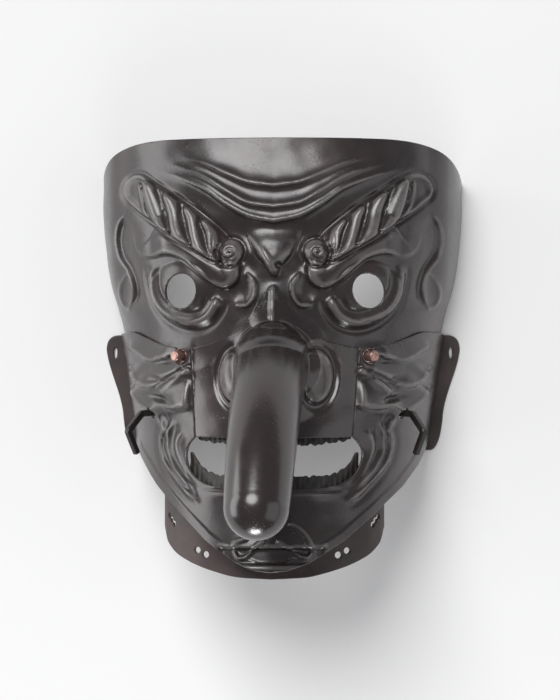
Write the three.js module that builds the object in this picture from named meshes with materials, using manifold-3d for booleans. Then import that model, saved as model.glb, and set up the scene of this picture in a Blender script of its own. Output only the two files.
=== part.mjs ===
// A tengu face guard: a full iron face mask with twisted brows, a long hollow nose and a throat plate.
// It lies on its back. +X is the wearer's left, +Y points to the forehead, +Z comes out of the face.
// Every plate is a sheet raised from one smooth face surface. Its hammered forms are heights above it.
import * as THREE from "three";
import { mergeVertices } from "three/addons/utils/BufferGeometryUtils.js";
import Module from "manifold-3d";

const wasm = await Module();
wasm.setup();

// ---- Driving dimensions, mm ----
const TOP_Y = 112;
const BOTTOM_Y = -112;
const HEIGHT_LIMIT = 220;
const SHEET = 1.6;
const GAP = 0.35;
const BROW_SETBACK = SHEET + GAP;
const TONGUE = 6;
const COLUMNS = 50;
const ROW_STEP = 4.4;
const EYE = { x: 48, y: 34, rx: 7.9, ry: 8.8, tilt: 0.35 };
const PIN = { x: 47.6, y: 1, radius: 2.7, proud: 6, buried: 6, clearance: 1.3 };
const MOUTH_TOP = -40;
const NOSE_PLATE_HALF = { top: 42.6, bottom: 39.8 };
const NOSE_WALL = 2;
const NOSE_MESH = { sides: 20, steps: 10, domeSteps: 4 };
const FLANGE = { top: 12, bottom: -50, outerTop: 95.5, outerBottom: 81, inner: 76.5, leg: 11 };
const HOOK = { x: 64, y: -28.5, thickness: 3.4, proud: 7, buried: 4 };
const TEETH_SETBACK = 2;
const THROAT_SHEET = 1.8;
const THROAT_STATIONS = 20;
const THROAT_SHIFT = -1.2;

// The face surface by height: half width, depth of the rim and of the crown, roundness of the section.
const SECTIONS = [
  { y: 116, halfWidth: 96, rim: -5, crown: 81, power: 2.3 },
  { y: 80, halfWidth: 96.5, rim: -5, crown: 87, power: 2.3 },
  { y: 50, halfWidth: 94, rim: -5, crown: 89, power: 2.3 },
  { y: 25, halfWidth: 89.5, rim: -5, crown: 88, power: 2.2 },
  { y: 8, halfWidth: 86.5, rim: -5, crown: 89, power: 2.1 },
  { y: -15, halfWidth: 83, rim: -5, crown: 93, power: 2.0 },
  { y: -35, halfWidth: 80, rim: -5, crown: 98, power: 1.95 },
  { y: -50, halfWidth: 78, rim: 2, crown: 101, power: 1.9 },
  { y: -65, halfWidth: 72, rim: 26, crown: 104, power: 1.9 },
  { y: -80, halfWidth: 62, rim: 50, crown: 108, power: 1.9 },
  { y: -95, halfWidth: 48, rim: 75, crown: 113, power: 1.9 },
  { y: -104, halfWidth: 36, rim: 92, crown: 114, power: 1.9 },
  { y: -116, halfWidth: 22, rim: 100, crown: 110, power: 1.9 },
];

// The seam between the brow plate and the plates that lap over it, from the nose to the rim.
const SEAM = [
  { x: 0, y: 35 },
  { x: 5, y: 30.5 },
  { x: 12, y: 23 },
  { x: 16, y: 17 },
  { x: 24, y: 10.5 },
  { x: 34, y: 7 },
  { x: 46, y: 5 },
  { x: 58, y: 6.5 },
  { x: 68, y: 10 },
  { x: 78, y: 13.2 },
  { x: 104, y: 11 },
];

// The lower edge of the mouth, from the middle to the corner and up to the nose plate.
const MOUTH_EDGE = [
  { x: 0, y: -65.5 },
  { x: 18, y: -65.3 },
  { x: 29, y: -64.3 },
  { x: 36, y: -62.2 },
  { x: 41.8, y: -57.8 },
  { x: 44.8, y: -50.4 },
  { x: 43.6, y: -44.2 },
  { x: 38.6, y: -38.6 },
];

// The jaw's lower edge, from the rim below the ear to the chin.
const JAW_EDGE = [
  { x: 90, y: -42 },
  { x: 78.5, y: -43.5 },
  { x: 75.5, y: -49 },
  { x: 71, y: -54.5 },
  { x: 62, y: -65 },
  { x: 47.5, y: -78.5 },
  { x: 33.5, y: -91 },
  { x: 18, y: -101.5 },
  { x: 8, y: -105.3 },
  { x: 0, y: -106 },
];

// Forehead wrinkles: the crest's height by distance from the middle.
const WRINKLES = [
  { reach: 54, crest: [[0, 87], [12, 88.5], [24, 93.5], [36, 99], [54, 104.5]] },
  { reach: 60, crest: [[0, 76.5], [12, 78.5], [24, 84.5], [36, 92], [60, 101]] },
  { reach: 68, crest: [[0, 69], [12, 71.5], [24, 77.5], [36, 86], [68, 98.5]] },
];
const WRINKLE_HEIGHT = 2.6;

// The twisted brow: middle line and half width of the rope, from the spiral to the leaf end.
const BROW = [
  { x: 24, y: 52.5, half: 5 },
  { x: 31, y: 57.5, half: 7 },
  { x: 46, y: 68.5, half: 8.2 },
  { x: 62, y: 79, half: 8 },
  { x: 72, y: 84.5, half: 7.2 },
  { x: 79, y: 89, half: 3 },
];
const SPIRAL = { x: 22.3, y: 53, radius: 6.4 };
const BROW_LOBES = 5.5;

// The raised ridge below the brow, and the other outlined forms.
const RIDGE_EDGE = [
  [17.5, 49], [17.6, 42], [19.5, 37.5], [24, 35.3], [29, 36.3], [35, 40.8], [42, 47],
  [49, 51.3], [57, 53], [67, 51.6], [72.5, 54.5], [76, 61], [77.5, 69],
];
const TEMPLE_CURVE = [[82, 73], [85, 66], [85.3, 58], [82.5, 50], [78.5, 43], [77, 36], [79.5, 25]];
const LID_CURVE = [[64.5, 48], [64.2, 39], [62, 31.5], [57, 24.5], [50, 19.8], [42, 18.2], [35, 20.5], [29.5, 29]];
const CURL_CURVE = [[13, 43], [9.3, 37], [10, 30], [14.5, 26], [21, 27]];
const CHEEK_FOLDS = [
  { height: 1.8, fall: 7, line: [[79, 6], [70, 1.5], [63, -1.2], [54, 0]] },
  { height: 1.8, fall: 7, line: [[77, -7], [72, -12.5], [63, -14], [56, -9.5], [48, -7]] },
  { height: 4.2, fall: 12, line: [[77, -18], [66, -26], [57, -24.5], [41, -24]] },
];
const SMILE_FOLDS = [
  [[59.5, -30], [57.3, -37], [58, -44], [55.5, -53], [50, -60], [43, -67.5], [36, -72]],
  [[51.5, -33], [55, -40], [54.5, -49], [50, -56.5], [43.5, -62.5]],
];

// The nose: middle line and radius from the root to the tip.
const NOSE = [
  { x: 0, y: 0, z: 80, radius: 20 },
  { x: -0.6, y: -9, z: 108, radius: 18.2 },
  { x: -1.3, y: -26, z: 135, radius: 17.3 },
  { x: -2.2, y: -47, z: 156, radius: 16.7 },
  { x: -3.2, y: -70, z: 171, radius: 15.6 },
];

// The throat plate: its lower edge and how far back its collar stands.
const COLLAR = [
  { x: 0, low: -112, depth: 86 },
  { x: 16, low: -111.2, depth: 85 },
  { x: 31, low: -108, depth: 81 },
  { x: 47.5, low: -101.6, depth: 71 },
  { x: 54.5, low: -95, depth: 63 },
  { x: 57, low: -86, depth: 58 },
];
const COLLAR_HOLES = [
  { x: 38.2, y: -97.8, rx: 1.5, ry: 1.6 },
  { x: 33.8, y: -99.9, rx: 1.6, ry: 1.7 },
  { x: 53.8, y: -81.3, rx: 0.6, ry: 1.4 },
  { x: 52.4, y: -83.3, rx: 0.7, ry: 1.4 },
  { x: 51, y: -85.3, rx: 0.7, ry: 1.4 },
];

// ---- Materials ----
const iron = (color, roughness) => new THREE.MeshStandardMaterial({ color, roughness, metalness: 0.75 });
const FINISH = {
  plate: iron(0x37302f, 0.34),
  throat: iron(0x3d3030, 0.55),
  flange: iron(0x352c2b, 0.5),
  hook: iron(0x1d1918, 0.45),
  teeth: iron(0x2c2624, 0.6),
  copper: new THREE.MeshStandardMaterial({ color: 0x9a6a5c, roughness: 0.45, metalness: 0.85 }),
};

// ---- Number helpers ----
const clamp01 = (v) => Math.min(1, Math.max(0, v));
const smooth = (a, b, v) => {
  const t = clamp01((v - a) / (b - a));
  return t * t * (3 - 2 * t);
};
const bell = (v, width) => Math.exp(-((v / width) ** 2));

// A smooth curve through (key, value) pairs that never overshoots them.
function through(pairs) {
  const p = [...pairs].sort((a, b) => a[0] - b[0]);
  const slope = p.slice(1).map((b, i) => (b[1] - p[i][1]) / (b[0] - p[i][0]));
  const tangent = p.map((_, i) => {
    if (i === 0) return slope[0];
    if (i === p.length - 1) return slope[i - 1];
    const product = slope[i - 1] * slope[i];
    return product <= 0 ? 0 : (2 * product) / (slope[i - 1] + slope[i]);
  });
  return (key) => {
    const k = Math.min(p[p.length - 1][0], Math.max(p[0][0], key));
    let i = 0;
    while (i < p.length - 2 && k > p[i + 1][0]) i++;
    const h = p[i + 1][0] - p[i][0];
    const t = (k - p[i][0]) / h;
    const from = (1 + 2 * t) * (1 - t) ** 2 * p[i][1] + t * t * (3 - 2 * t) * p[i + 1][1];
    return from + h * (t * (1 - t) ** 2 * tangent[i] - t * t * (1 - t) * tangent[i + 1]);
  };
}

// Columns of a table of rows as smooth functions of one of them.
function columns(rows, key) {
  const names = Object.keys(rows[0]).filter((name) => name !== key);
  return Object.fromEntries(names.map((name) => [name, through(rows.map((r) => [r[key], r[name]]))]));
}

// A rounded polyline through [x, y] points.
function rounded(points, samples = 40) {
  const curve = new THREE.SplineCurve(points.map(([x, y]) => new THREE.Vector2(x, y)));
  return curve.getPoints(samples);
}

// Nearest place on a polyline: distance, left side positive, and share of the way along.
function nearest(line, x, y) {
  let best = { distance: Infinity, signed: 0, along: 0 };
  for (let i = 0; i < line.length - 1; i++) {
    const ex = line[i + 1].x - line[i].x;
    const ey = line[i + 1].y - line[i].y;
    const t = clamp01(((x - line[i].x) * ex + (y - line[i].y) * ey) / (ex * ex + ey * ey));
    const dx = x - line[i].x - t * ex;
    const dy = y - line[i].y - t * ey;
    const distance = Math.hypot(dx, dy);
    if (distance < best.distance) {
      const side = ex * dy - ey * dx >= 0 ? 1 : -1;
      best = { distance, signed: side * distance, along: (i + t) / (line.length - 1) };
    }
  }
  return best;
}

// Fades a form out at both ends of its line.
const ends = (along, share) => smooth(0, share, along) * smooth(0, share, 1 - along);

// ---- The face surface ----
const section = columns(SECTIONS, "y");

// A point of the smooth face surface: turn runs from -1 at one rim to 1 at the other.
function facePoint(turn, y) {
  const angle = (turn * Math.PI) / 2;
  const power = 2 / section.power(y);
  const side = Math.sign(turn) * Math.abs(Math.sin(angle)) ** power;
  const rise = Math.max(Math.cos(angle), 0) ** power;
  const rim = section.rim(y);
  return new THREE.Vector3(section.halfWidth(y) * side, y, rim + (section.crown(y) - rim) * rise);
}

function faceNormal(turn, y) {
  const step = 0.01;
  const t = Math.min(1 - step, Math.max(step - 1, turn));
  const across = facePoint(t + step, y).sub(facePoint(t - step, y));
  const up = facePoint(t, y + 1).sub(facePoint(t, y - 1));
  return across.cross(up).normalize();
}

// The turn that reaches a given x at a given height.
function turnAt(x, y) {
  const share = clamp01(Math.abs(x) / section.halfWidth(y));
  return (Math.sign(x) * Math.asin(share ** (section.power(y) / 2)) * 2) / Math.PI;
}

// ---- Heights of the hammered forms above the face surface ----
const wrinkleCrests = WRINKLES.map((w) => through(w.crest));
const browLine = rounded(BROW.map((r) => [r.x, r.y]));
const browHalf = through(BROW.map((r, i) => [i / (BROW.length - 1), r.half]));
const ridgeEdge = rounded(RIDGE_EDGE);
const templeCurve = rounded(TEMPLE_CURVE);
const lidCurve = rounded(LID_CURVE);
const curlCurve = rounded(CURL_CURVE);
const cheekFolds = CHEEK_FOLDS.map((fold) => ({ ...fold, line: rounded(fold.line) }));
const smileFolds = SMILE_FOLDS.map((line) => rounded(line));
const jawEdge = JAW_EDGE.map((p) => new THREE.Vector2(p.x, p.y));
const seamHeight = columns(SEAM, "x").y;

// Overlapping steps: each rises slowly to its crest and drops below it.
function foreheadHeight(x, y) {
  return WRINKLES.reduce((sum, wrinkle, i) => {
    const above = y - wrinkleCrests[i](x);
    const fade = 1 - smooth(0.35, 1, x / wrinkle.reach);
    return sum + WRINKLE_HEIGHT * fade * Math.exp(-Math.max(above, 0) / 6) * smooth(-3, 0.5, above);
  }, 0);
}

function browHeight(x, y) {
  const at = nearest(browLine, x, y);
  const across = at.signed / browHalf(at.along);
  const body = Math.sqrt(Math.max(1 - across * across, 0)) * smooth(0, 0.05, 1 - at.along);
  const twist = 0.5 + 0.5 * Math.cos(2 * Math.PI * (at.along * BROW_LOBES + 0.45 * across));
  const roll = 1 - smooth(0.75, 1.1, Math.hypot(x - SPIRAL.x, y - SPIRAL.y) / SPIRAL.radius);
  return Math.max(body * (1.8 + 1.6 * twist), 3 * roll);
}

function ridgeHeight(x, y) {
  const at = nearest(ridgeEdge, x, y);
  const roll = smooth(-1.5, 1.5, at.signed) * (1 - smooth(10, 26, at.signed));
  return 2.8 * roll * smooth(0, 0.04, at.along) * smooth(0, 0.2, 1 - at.along);
}

function eyeHeight(x, y) {
  const ball = clamp01(1 - ((x - EYE.x) / 18) ** 2 - ((y - EYE.y) / 16) ** 2);
  const lid = nearest(lidCurve, x, y);
  const curl = nearest(curlCurve, x, y);
  return 3.4 * ball + 1.6 * bell(lid.distance, 2.6) * ends(lid.along, 0.15) + 1.4 * bell(curl.distance, 2);
}

function templeHeight(x, y) {
  const at = nearest(templeCurve, x, y);
  const inner = -at.signed;
  const channel = 2.4 * smooth(-1, 1, inner) * Math.exp(-Math.max(inner, 0) / 6) * ends(at.along, 0.2);
  const rim = 2 * smooth(79, 89, x) * smooth(14, 42, y);
  return rim - channel;
}

// The frown between the brows, and the bridge of the nose below it.
function bridgeHeight(x, y) {
  const frown = clamp01(1 - (x / 13) ** 2 - ((y - 53) / 14) ** 2);
  const knob = clamp01(1 - (x / 5) ** 2 - ((y - 45) / 5) ** 2);
  const ridge = bell(x, 7) * smooth(40, 24, y) * smooth(-4, 10, y);
  return 4 * Math.sqrt(frown) + 2.2 * knob + 4 * ridge;
}

// The root of the nose spreads into two wings, with folds across it.
function noseRootHeight(x, y) {
  const root = clamp01(1 - (x / 25) ** 2 - ((y + 5) / 26) ** 2);
  const wing = clamp01(1 - ((x - 21.5) / 6.5) ** 2 - ((y + 8) / 13.5) ** 2);
  const fold = (height) => Math.exp(-Math.max(height, 0) / 5) * smooth(-2.5, 0.5, height);
  const arch = y + 0.022 * x * x;
  const folds = (fold(arch - 16) + fold(arch - 9)) * (1 - smooth(8, 17, x));
  return 11 * root ** 0.6 + 6.5 * Math.sqrt(wing) + 1.6 * folds;
}

function cheekHeight(x, y) {
  const folds = cheekFolds.reduce((sum, fold) => {
    const at = nearest(fold.line, x, y);
    const above = -at.signed;
    const drop = smooth(-2.5, 0.6, above) * Math.exp(-Math.max(above, 0) / fold.fall);
    return sum + fold.height * drop * smooth(0, 0.12, at.along) * smooth(41, 46, x);
  }, 0);
  const smile = smileFolds.reduce((sum, line) => {
    const at = nearest(line, x, y);
    return sum + 2.2 * bell(at.distance, 2.6) * ends(at.along, 0.2);
  }, 0);
  return folds + smile;
}

// The lower lip, the hollow across the chin and the turned edge of the jaw.
function chinHeight(x, y) {
  const lip = 1.6 * bell(y + 67.5, 2.6) * (1 - smooth(26, 38, x));
  const hollow = 2.4 * smooth(-104, -101, y) * smooth(-93, -95.5, y) * (1 - smooth(22, 30, x));
  const rim = nearest(jawEdge, x, y).distance;
  const turned = 1.3 * (1 - smooth(3.6, 5.6, rim)) * smooth(-40, -46, y);
  return lip - hollow + turned;
}

function relief(x, y) {
  const side = Math.abs(x);
  const upper = foreheadHeight(side, y) + ridgeHeight(side, y) + eyeHeight(side, y) + templeHeight(side, y);
  const lower = cheekHeight(side, y) + chinHeight(side, y);
  const faded = smooth(-4, 12, y);
  return upper * faded + browHeight(side, y) + bridgeHeight(x, y) + noseRootHeight(side, y) + lower;
}

// ---- Solids ----
function toManifold(geometry) {
  const bare = geometry.index ? geometry.toNonIndexed() : geometry.clone();
  for (const name of Object.keys(bare.attributes)) if (name !== "position") bare.deleteAttribute(name);
  const merged = mergeVertices(bare, 1e-4);
  return new wasm.Manifold(
    new wasm.Mesh({
      numProp: 3,
      vertProperties: merged.attributes.position.array,
      triVerts: new Uint32Array(merged.index.array),
    }),
  );
}

function toGeometry(solid) {
  const mesh = solid.getMesh();
  const geometry = new THREE.BufferGeometry();
  geometry.setAttribute("position", new THREE.BufferAttribute(mesh.vertProperties, 3));
  geometry.setIndex(new THREE.BufferAttribute(mesh.triVerts, 1));
  geometry.computeVertexNormals();
  return geometry;
}

function indexed(points, triangles) {
  const geometry = new THREE.BufferGeometry().setFromPoints(points);
  geometry.setIndex(triangles);
  return geometry;
}

// Columns lie closer together over the face than on the steep sides.
function columnTurn(column, count) {
  const even = (2 * column) / count - 1;
  return 0.65 * ((Math.asin(even) * 2) / Math.PI) + 0.35 * even;
}

// A closed sheet over a band of heights. The back has half as many rows and columns as the front,
// and stays behind the lowest of the front's points around it. All sheets share one grid.
function sheet({ top, bottom, front = 0, back = -SHEET, height = relief }) {
  const first = 2 * Math.floor(bottom / ROW_STEP / 2);
  const rows = 2 * Math.ceil(top / ROW_STEP / 2) - first;
  const yAt = (j) => (first + j) * ROW_STEP;
  const nodes = [];
  for (let j = 0; j <= rows; j++) {
    for (let i = 0; i <= COLUMNS; i++) {
      const turn = columnTurn(i, COLUMNS);
      const base = facePoint(turn, yAt(j));
      nodes.push({ base, normal: faceNormal(turn, yAt(j)), lift: height(base.x, base.y) });
    }
  }
  const node = (i, j) => nodes[j * (COLUMNS + 1) + i];
  const place = (n, lift) => n.base.clone().addScaledVector(n.normal, lift);
  const points = nodes.map((n) => place(n, n.lift + front));
  const frontAt = (i, j) => j * (COLUMNS + 1) + i;
  const start = points.length;
  const backAt = (i, j) => start + (j / 2) * (COLUMNS / 2 + 1) + i / 2;
  for (let j = 0; j <= rows; j += 2) {
    for (let i = 0; i <= COLUMNS; i += 2) {
      let lowest = Infinity;
      for (let b = Math.max(j - 1, 0); b <= Math.min(j + 1, rows); b++) {
        for (let a = Math.max(i - 1, 0); a <= Math.min(i + 1, COLUMNS); a++) {
          lowest = Math.min(lowest, node(a, b).lift);
        }
      }
      points.push(place(node(i, j), lowest + back));
    }
  }
  const triangles = [];
  const quad = (a, b, c, d) => triangles.push(a, b, c, a, c, d);
  for (let j = 0; j < rows; j++) {
    for (let i = 0; i < COLUMNS; i++) {
      const corners = [frontAt(i, j), frontAt(i + 1, j), frontAt(i + 1, j + 1), frontAt(i, j + 1)];
      const rising = Math.abs(node(i, j).lift - node(i + 1, j + 1).lift);
      const falling = Math.abs(node(i + 1, j).lift - node(i, j + 1).lift);
      if (falling < rising) corners.push(corners.shift());
      quad(...corners);
    }
  }
  for (let j = 0; j < rows; j += 2) {
    for (let i = 0; i < COLUMNS; i += 2) {
      quad(backAt(i, j), backAt(i, j + 2), backAt(i + 2, j + 2), backAt(i + 2, j));
    }
  }
  const wall = (a, middle, b, backA, backB) => {
    triangles.push(middle, a, backA, middle, backA, backB, middle, backB, b);
  };
  for (let i = 0; i < COLUMNS; i += 2) {
    wall(frontAt(i, 0), frontAt(i + 1, 0), frontAt(i + 2, 0), backAt(i, 0), backAt(i + 2, 0));
    const j = rows;
    wall(frontAt(i + 2, j), frontAt(i + 1, j), frontAt(i, j), backAt(i + 2, j), backAt(i, j));
  }
  for (let j = 0; j < rows; j += 2) {
    const i = COLUMNS;
    wall(frontAt(0, j + 2), frontAt(0, j + 1), frontAt(0, j), backAt(0, j + 2), backAt(0, j));
    wall(frontAt(i, j), frontAt(i, j + 1), frontAt(i, j + 2), backAt(i, j), backAt(i, j + 2));
  }
  return toManifold(indexed(points, triangles));
}

// A straight column over an outline of [x, y] points, from one depth to another.
function prism(outline, from = 0, to = HEIGHT_LIMIT) {
  const shape = new THREE.Shape(outline.map(([x, y]) => new THREE.Vector2(x, y)));
  const geometry = new THREE.ExtrudeGeometry(shape, { depth: to - from, bevelEnabled: false, steps: 1 });
  geometry.translate(0, 0, from);
  return toManifold(geometry);
}

function ellipse({ x, y, rx, ry, tilt = 0 }, sides = 18) {
  const curve = new THREE.EllipseCurve(x, y, rx, ry, 0, 2 * Math.PI, false, tilt);
  return curve.getPoints(sides).slice(0, -1).map((p) => [p.x, p.y]);
}

const mirrored = (points) => points.map(([x, y]) => [-x, y]);

// An outline from a half outline: the right side, then its mirror image backwards.
const bothSides = (half) => [...half, ...mirrored(half).reverse()];

// The right half of the seam, moved down by drop.
function seamHalf(drop) {
  const places = [5, 10, 15, 20, 27, 34, 42, 50, 58, 66, 74, 82, 104];
  return places.map((x) => [x, seamHeight(x) - drop]);
}

function belowSeam(drop) {
  const half = [...seamHalf(drop), [104, BOTTOM_Y - 8]];
  return [[0, seamHeight(0) - drop], ...half, ...mirrored(half).reverse()];
}

function aboveSeam(drop) {
  const half = [...seamHalf(drop), ...topCorner()];
  return [[0, seamHeight(0) - drop], ...half, ...mirrored(half).reverse()];
}

// The rounded upper corner, from the side to the top edge.
function topCorner() {
  const curve = new THREE.CubicBezierCurve(
    new THREE.Vector2(104, 84),
    new THREE.Vector2(97, 101),
    new THREE.Vector2(84, 109.5),
    new THREE.Vector2(52, TOP_Y),
  );
  return curve.getPoints(8).map((p) => [p.x, p.y]);
}

function nosePlateOutline(grow) {
  const half = [
    [NOSE_PLATE_HALF.top + grow, 44],
    [NOSE_PLATE_HALF.top + grow, 2],
    [NOSE_PLATE_HALF.bottom + grow, MOUTH_TOP - grow],
  ];
  return bothSides(half);
}

function mouthOutline() {
  const edge = MOUTH_EDGE.map((p) => [p.x, p.y]);
  return bothSides(edge.slice(1)).concat([[0, edge[0][1]]]);
}

function jawOutline() {
  const edge = jawEdge.map((p) => [p.x, p.y]);
  const half = [[90, 40], ...edge.slice(0, -1)];
  return [...half, [0, edge[edge.length - 1][1]], ...mirrored(half).reverse()];
}

// A closed solid through rings of points of one count. A band is capped along its own two long sides,
// and a round ring by a point.
function loft(rings, poles = null) {
  const count = rings[0].length;
  const points = rings.flat();
  const triangles = [];
  const quad = (a, b, c, d) => triangles.push(a, b, c, a, c, d);
  for (let j = 0; j < rings.length - 1; j++) {
    for (let k = 0; k < count; k++) {
      const next = (k + 1) % count;
      quad(j * count + k, j * count + next, (j + 1) * count + next, (j + 1) * count + k);
    }
  }
  const last = (rings.length - 1) * count;
  if (poles) {
    points.push(...poles);
    const pole = rings.length * count;
    for (let k = 0; k < count; k++) {
      const next = (k + 1) % count;
      triangles.push(pole, next, k, pole + 1, last + k, last + next);
    }
  } else {
    for (let k = 0; k < count / 2 - 1; k++) {
      const opposite = count - 1 - k;
      quad(k, opposite, opposite - 1, k + 1);
      quad(last + k, last + k + 1, last + opposite - 1, last + opposite);
    }
  }
  const solid = toManifold(indexed(points, triangles));
  return solid.volume() < 0 ? toManifold(indexed(points, triangles.reverse())) : solid;
}

// ---- The hollow nose ----
const noseCurve = new THREE.CatmullRomCurve3(NOSE.map((r) => new THREE.Vector3(r.x, r.y, r.z)));
const noseRadius = through(NOSE.map((r, i) => [i / (NOSE.length - 1), r.radius]));

// A ring of points around a middle line.
function ringAround(centre, direction, radius, sides) {
  const v = direction.clone().cross(new THREE.Vector3(1, 0, 0)).normalize();
  const u = v.clone().cross(direction).normalize();
  return Array.from({ length: sides }, (_, k) => {
    const angle = (2 * Math.PI * k) / sides;
    const out = u.clone().multiplyScalar(Math.cos(angle)).addScaledVector(v, Math.sin(angle));
    return centre.clone().addScaledVector(out, radius);
  });
}

// A round body along the nose's middle line that ends in a dome. Root moves its start back.
function noseBody({ inset, sides, steps, domeSteps, root = 0 }) {
  const start = noseCurve.getPoint(0).addScaledVector(noseCurve.getTangent(0), -root);
  const rings = root ? [ringAround(start, noseCurve.getTangent(0), noseRadius(0) - inset, sides)] : [];
  for (let j = 0; j <= steps; j++) {
    const t = j / steps;
    rings.push(ringAround(noseCurve.getPoint(t), noseCurve.getTangent(t), noseRadius(t) - inset, sides));
  }
  const tip = noseCurve.getPoint(1);
  const forward = noseCurve.getTangent(1);
  const radius = noseRadius(1) - inset;
  for (let j = 1; j < domeSteps; j++) {
    const angle = (Math.PI / 2) * (j / domeSteps);
    const centre = tip.clone().addScaledVector(forward, radius * Math.sin(angle));
    rings.push(ringAround(centre, forward, radius * Math.cos(angle), sides));
  }
  return loft(rings, [start, tip.clone().addScaledVector(forward, radius)]);
}

// ---- Plates ----
const pinPlaces = [-1, 1].map((side) => {
  const turn = turnAt(side * PIN.x, PIN.y);
  return { side, foot: facePoint(turn, PIN.y), normal: faceNormal(turn, PIN.y) };
});

const hookPlaces = [-1, 1].map((side) => {
  const turn = turnAt(side * HOOK.x, HOOK.y);
  return { side, foot: facePoint(turn, HOOK.y), normal: faceNormal(turn, HOOK.y) };
});

// A round bar along the plate's normal at a place on it.
function bar({ foot, normal }, radius, from, to, sides = 16) {
  const rod = new THREE.CylinderGeometry(radius, radius, to - from, sides);
  rod.applyQuaternion(new THREE.Quaternion().setFromUnitVectors(new THREE.Vector3(0, 1, 0), normal));
  const middle = foot.clone().addScaledVector(normal, (from + to) / 2);
  return rod.translate(middle.x, middle.y, middle.z);
}

function drilled(solid, places, radius) {
  return places.reduce((rest, place) => rest.subtract(toManifold(bar(place, radius, -12, 12))), solid);
}

function browPlate() {
  let plate = sheet({ top: 116, bottom: -2, front: -BROW_SETBACK, back: -BROW_SETBACK - SHEET });
  plate = plate.intersect(prism(aboveSeam(TONGUE)));
  for (const side of [-1, 1]) {
    const eye = ellipse({ ...EYE, x: side * EYE.x, tilt: side * EYE.tilt });
    plate = plate.subtract(prism(eye));
  }
  const cover = sheet({ top: 44, bottom: -10, front: 8, back: -SHEET - GAP });
  plate = plate.subtract(cover.intersect(prism(belowSeam(-GAP), -20)));
  plate = plate.subtract(noseBody({ ...NOSE_MESH, inset: -GAP })).subtract(flangeRoom());
  return drilled(plate, pinPlaces, PIN.radius + GAP);
}

// Room above the ear flanges, whose plates carry the rim there.
function flangeRoom() {
  const { top, bottom } = FLANGE;
  const side = [[60, top + GAP], [110, top + GAP], [110, bottom], [60, bottom]];
  return prism(side, -10, SHEET + GAP).add(prism(mirrored(side), -10, SHEET + GAP));
}

function jawPlate() {
  let plate = sheet({ top: 24, bottom: BOTTOM_Y - 2 });
  plate = plate.intersect(prism(belowSeam(0), SHEET + 2 * GAP)).intersect(prism(jawOutline()));
  plate = plate.subtract(prism(nosePlateOutline(GAP), -20)).subtract(prism(mouthOutline()));
  plate = drilled(plate, hookPlaces, HOOK.thickness * 0.72 + GAP);
  return drilled(plate, pinPlaces, PIN.radius + PIN.clearance);
}

function nosePlate() {
  const plate = sheet({ top: 40, bottom: -44 });
  const panel = plate.intersect(prism(belowSeam(0))).intersect(prism(nosePlateOutline(0)));
  const behind = sheet({ top: 40, bottom: -44, front: -SHEET, back: -30 });
  const outer = noseBody({ ...NOSE_MESH, inset: 0 }).subtract(behind);
  const inner = noseBody({ inset: NOSE_WALL, sides: 14, steps: 7, domeSteps: 3, root: 14 });
  return panel.add(outer).subtract(inner);
}

// ---- Throat plate ----
const collar = columns(COLLAR, "x");
const jawEdgeHeight = through(JAW_EDGE.map((p) => [p.x, p.y]));

// One profile across the plate: in behind the jaw's edge, back along the throat, then down the collar.
function throatProfile(x) {
  const side = Math.abs(x);
  const edge = jawEdgeHeight(side);
  const inner = facePoint(turnAt(x, edge + 5), edge + 5).z - 3 * SHEET;
  const depth = collar.depth(side);
  return [
    [edge + 5, inner],
    [edge + 4, (inner + depth) / 2],
    [edge + 3, depth + 3],
    [edge, depth],
    [collar.low(side), depth],
  ];
}

// The two long sides of a profile, a sheet's thickness apart.
function throatRing(x) {
  const profile = throatProfile(x);
  const front = profile.map(([y, z]) => new THREE.Vector3(x, y, z));
  const back = profile.map(([y, z], k) => {
    const before = profile[Math.max(k - 1, 0)];
    const after = profile[Math.min(k + 1, profile.length - 1)];
    const run = new THREE.Vector2(after[0] - before[0], after[1] - before[1]).normalize();
    return new THREE.Vector3(x, y - run.y * THROAT_SHEET, z + run.x * THROAT_SHEET);
  });
  return [...front, ...back.reverse()];
}

function throatPlate() {
  const reach = COLLAR[COLLAR.length - 1].x;
  const rings = [];
  for (let i = 0; i <= THROAT_STATIONS; i++) {
    rings.push(throatRing(reach * Math.sin((Math.PI / 2) * ((2 * i) / THROAT_STATIONS - 1))));
  }
  let plate = loft(rings);
  for (const hole of COLLAR_HOLES) {
    for (const side of [-1, 1]) plate = plate.subtract(prism(ellipse({ ...hole, x: side * hole.x }, 8)));
  }
  return plate.translate(THROAT_SHIFT, 0, 0);
}

// ---- Small pieces ----
// A row of teeth: a strip behind the lips from a straight edge to a scalloped one.
function teethRow({ reach, straight, tips, width, scallop }) {
  const stations = 2 * Math.round((3 * reach) / width);
  const rings = [];
  for (let k = 0; k <= stations; k++) {
    const x = reach * ((2 * k) / stations - 1);
    const side = Math.abs(x);
    const tip = tips(side) + scallop * Math.abs(Math.sin((Math.PI * x) / width));
    const corner = (y, depth) => {
      const turn = turnAt(x, y);
      return facePoint(turn, y).addScaledVector(faceNormal(turn, y), -depth);
    };
    const front = SHEET + TEETH_SETBACK;
    const back = front + SHEET;
    rings.push([corner(straight(side), front), corner(tip, front), corner(tip, back), corner(straight(side), back)]);
  }
  return loft(rings);
}

function upperTeeth() {
  const tips = through([[0, -45], [24, -44], [38, -42]]);
  return teethRow({ reach: 37.5, straight: () => -34, tips, width: 7, scallop: 1.2 });
}

function lowerTeeth() {
  const tips = through([[0, -57.5], [30, -57.5], [37, -55.5], [41, -52]]);
  const straight = through([[0, -70], [30, -69], [41, -62]]);
  return teethRow({ reach: 41, straight, tips, width: 6, scallop: -1 });
}

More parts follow.
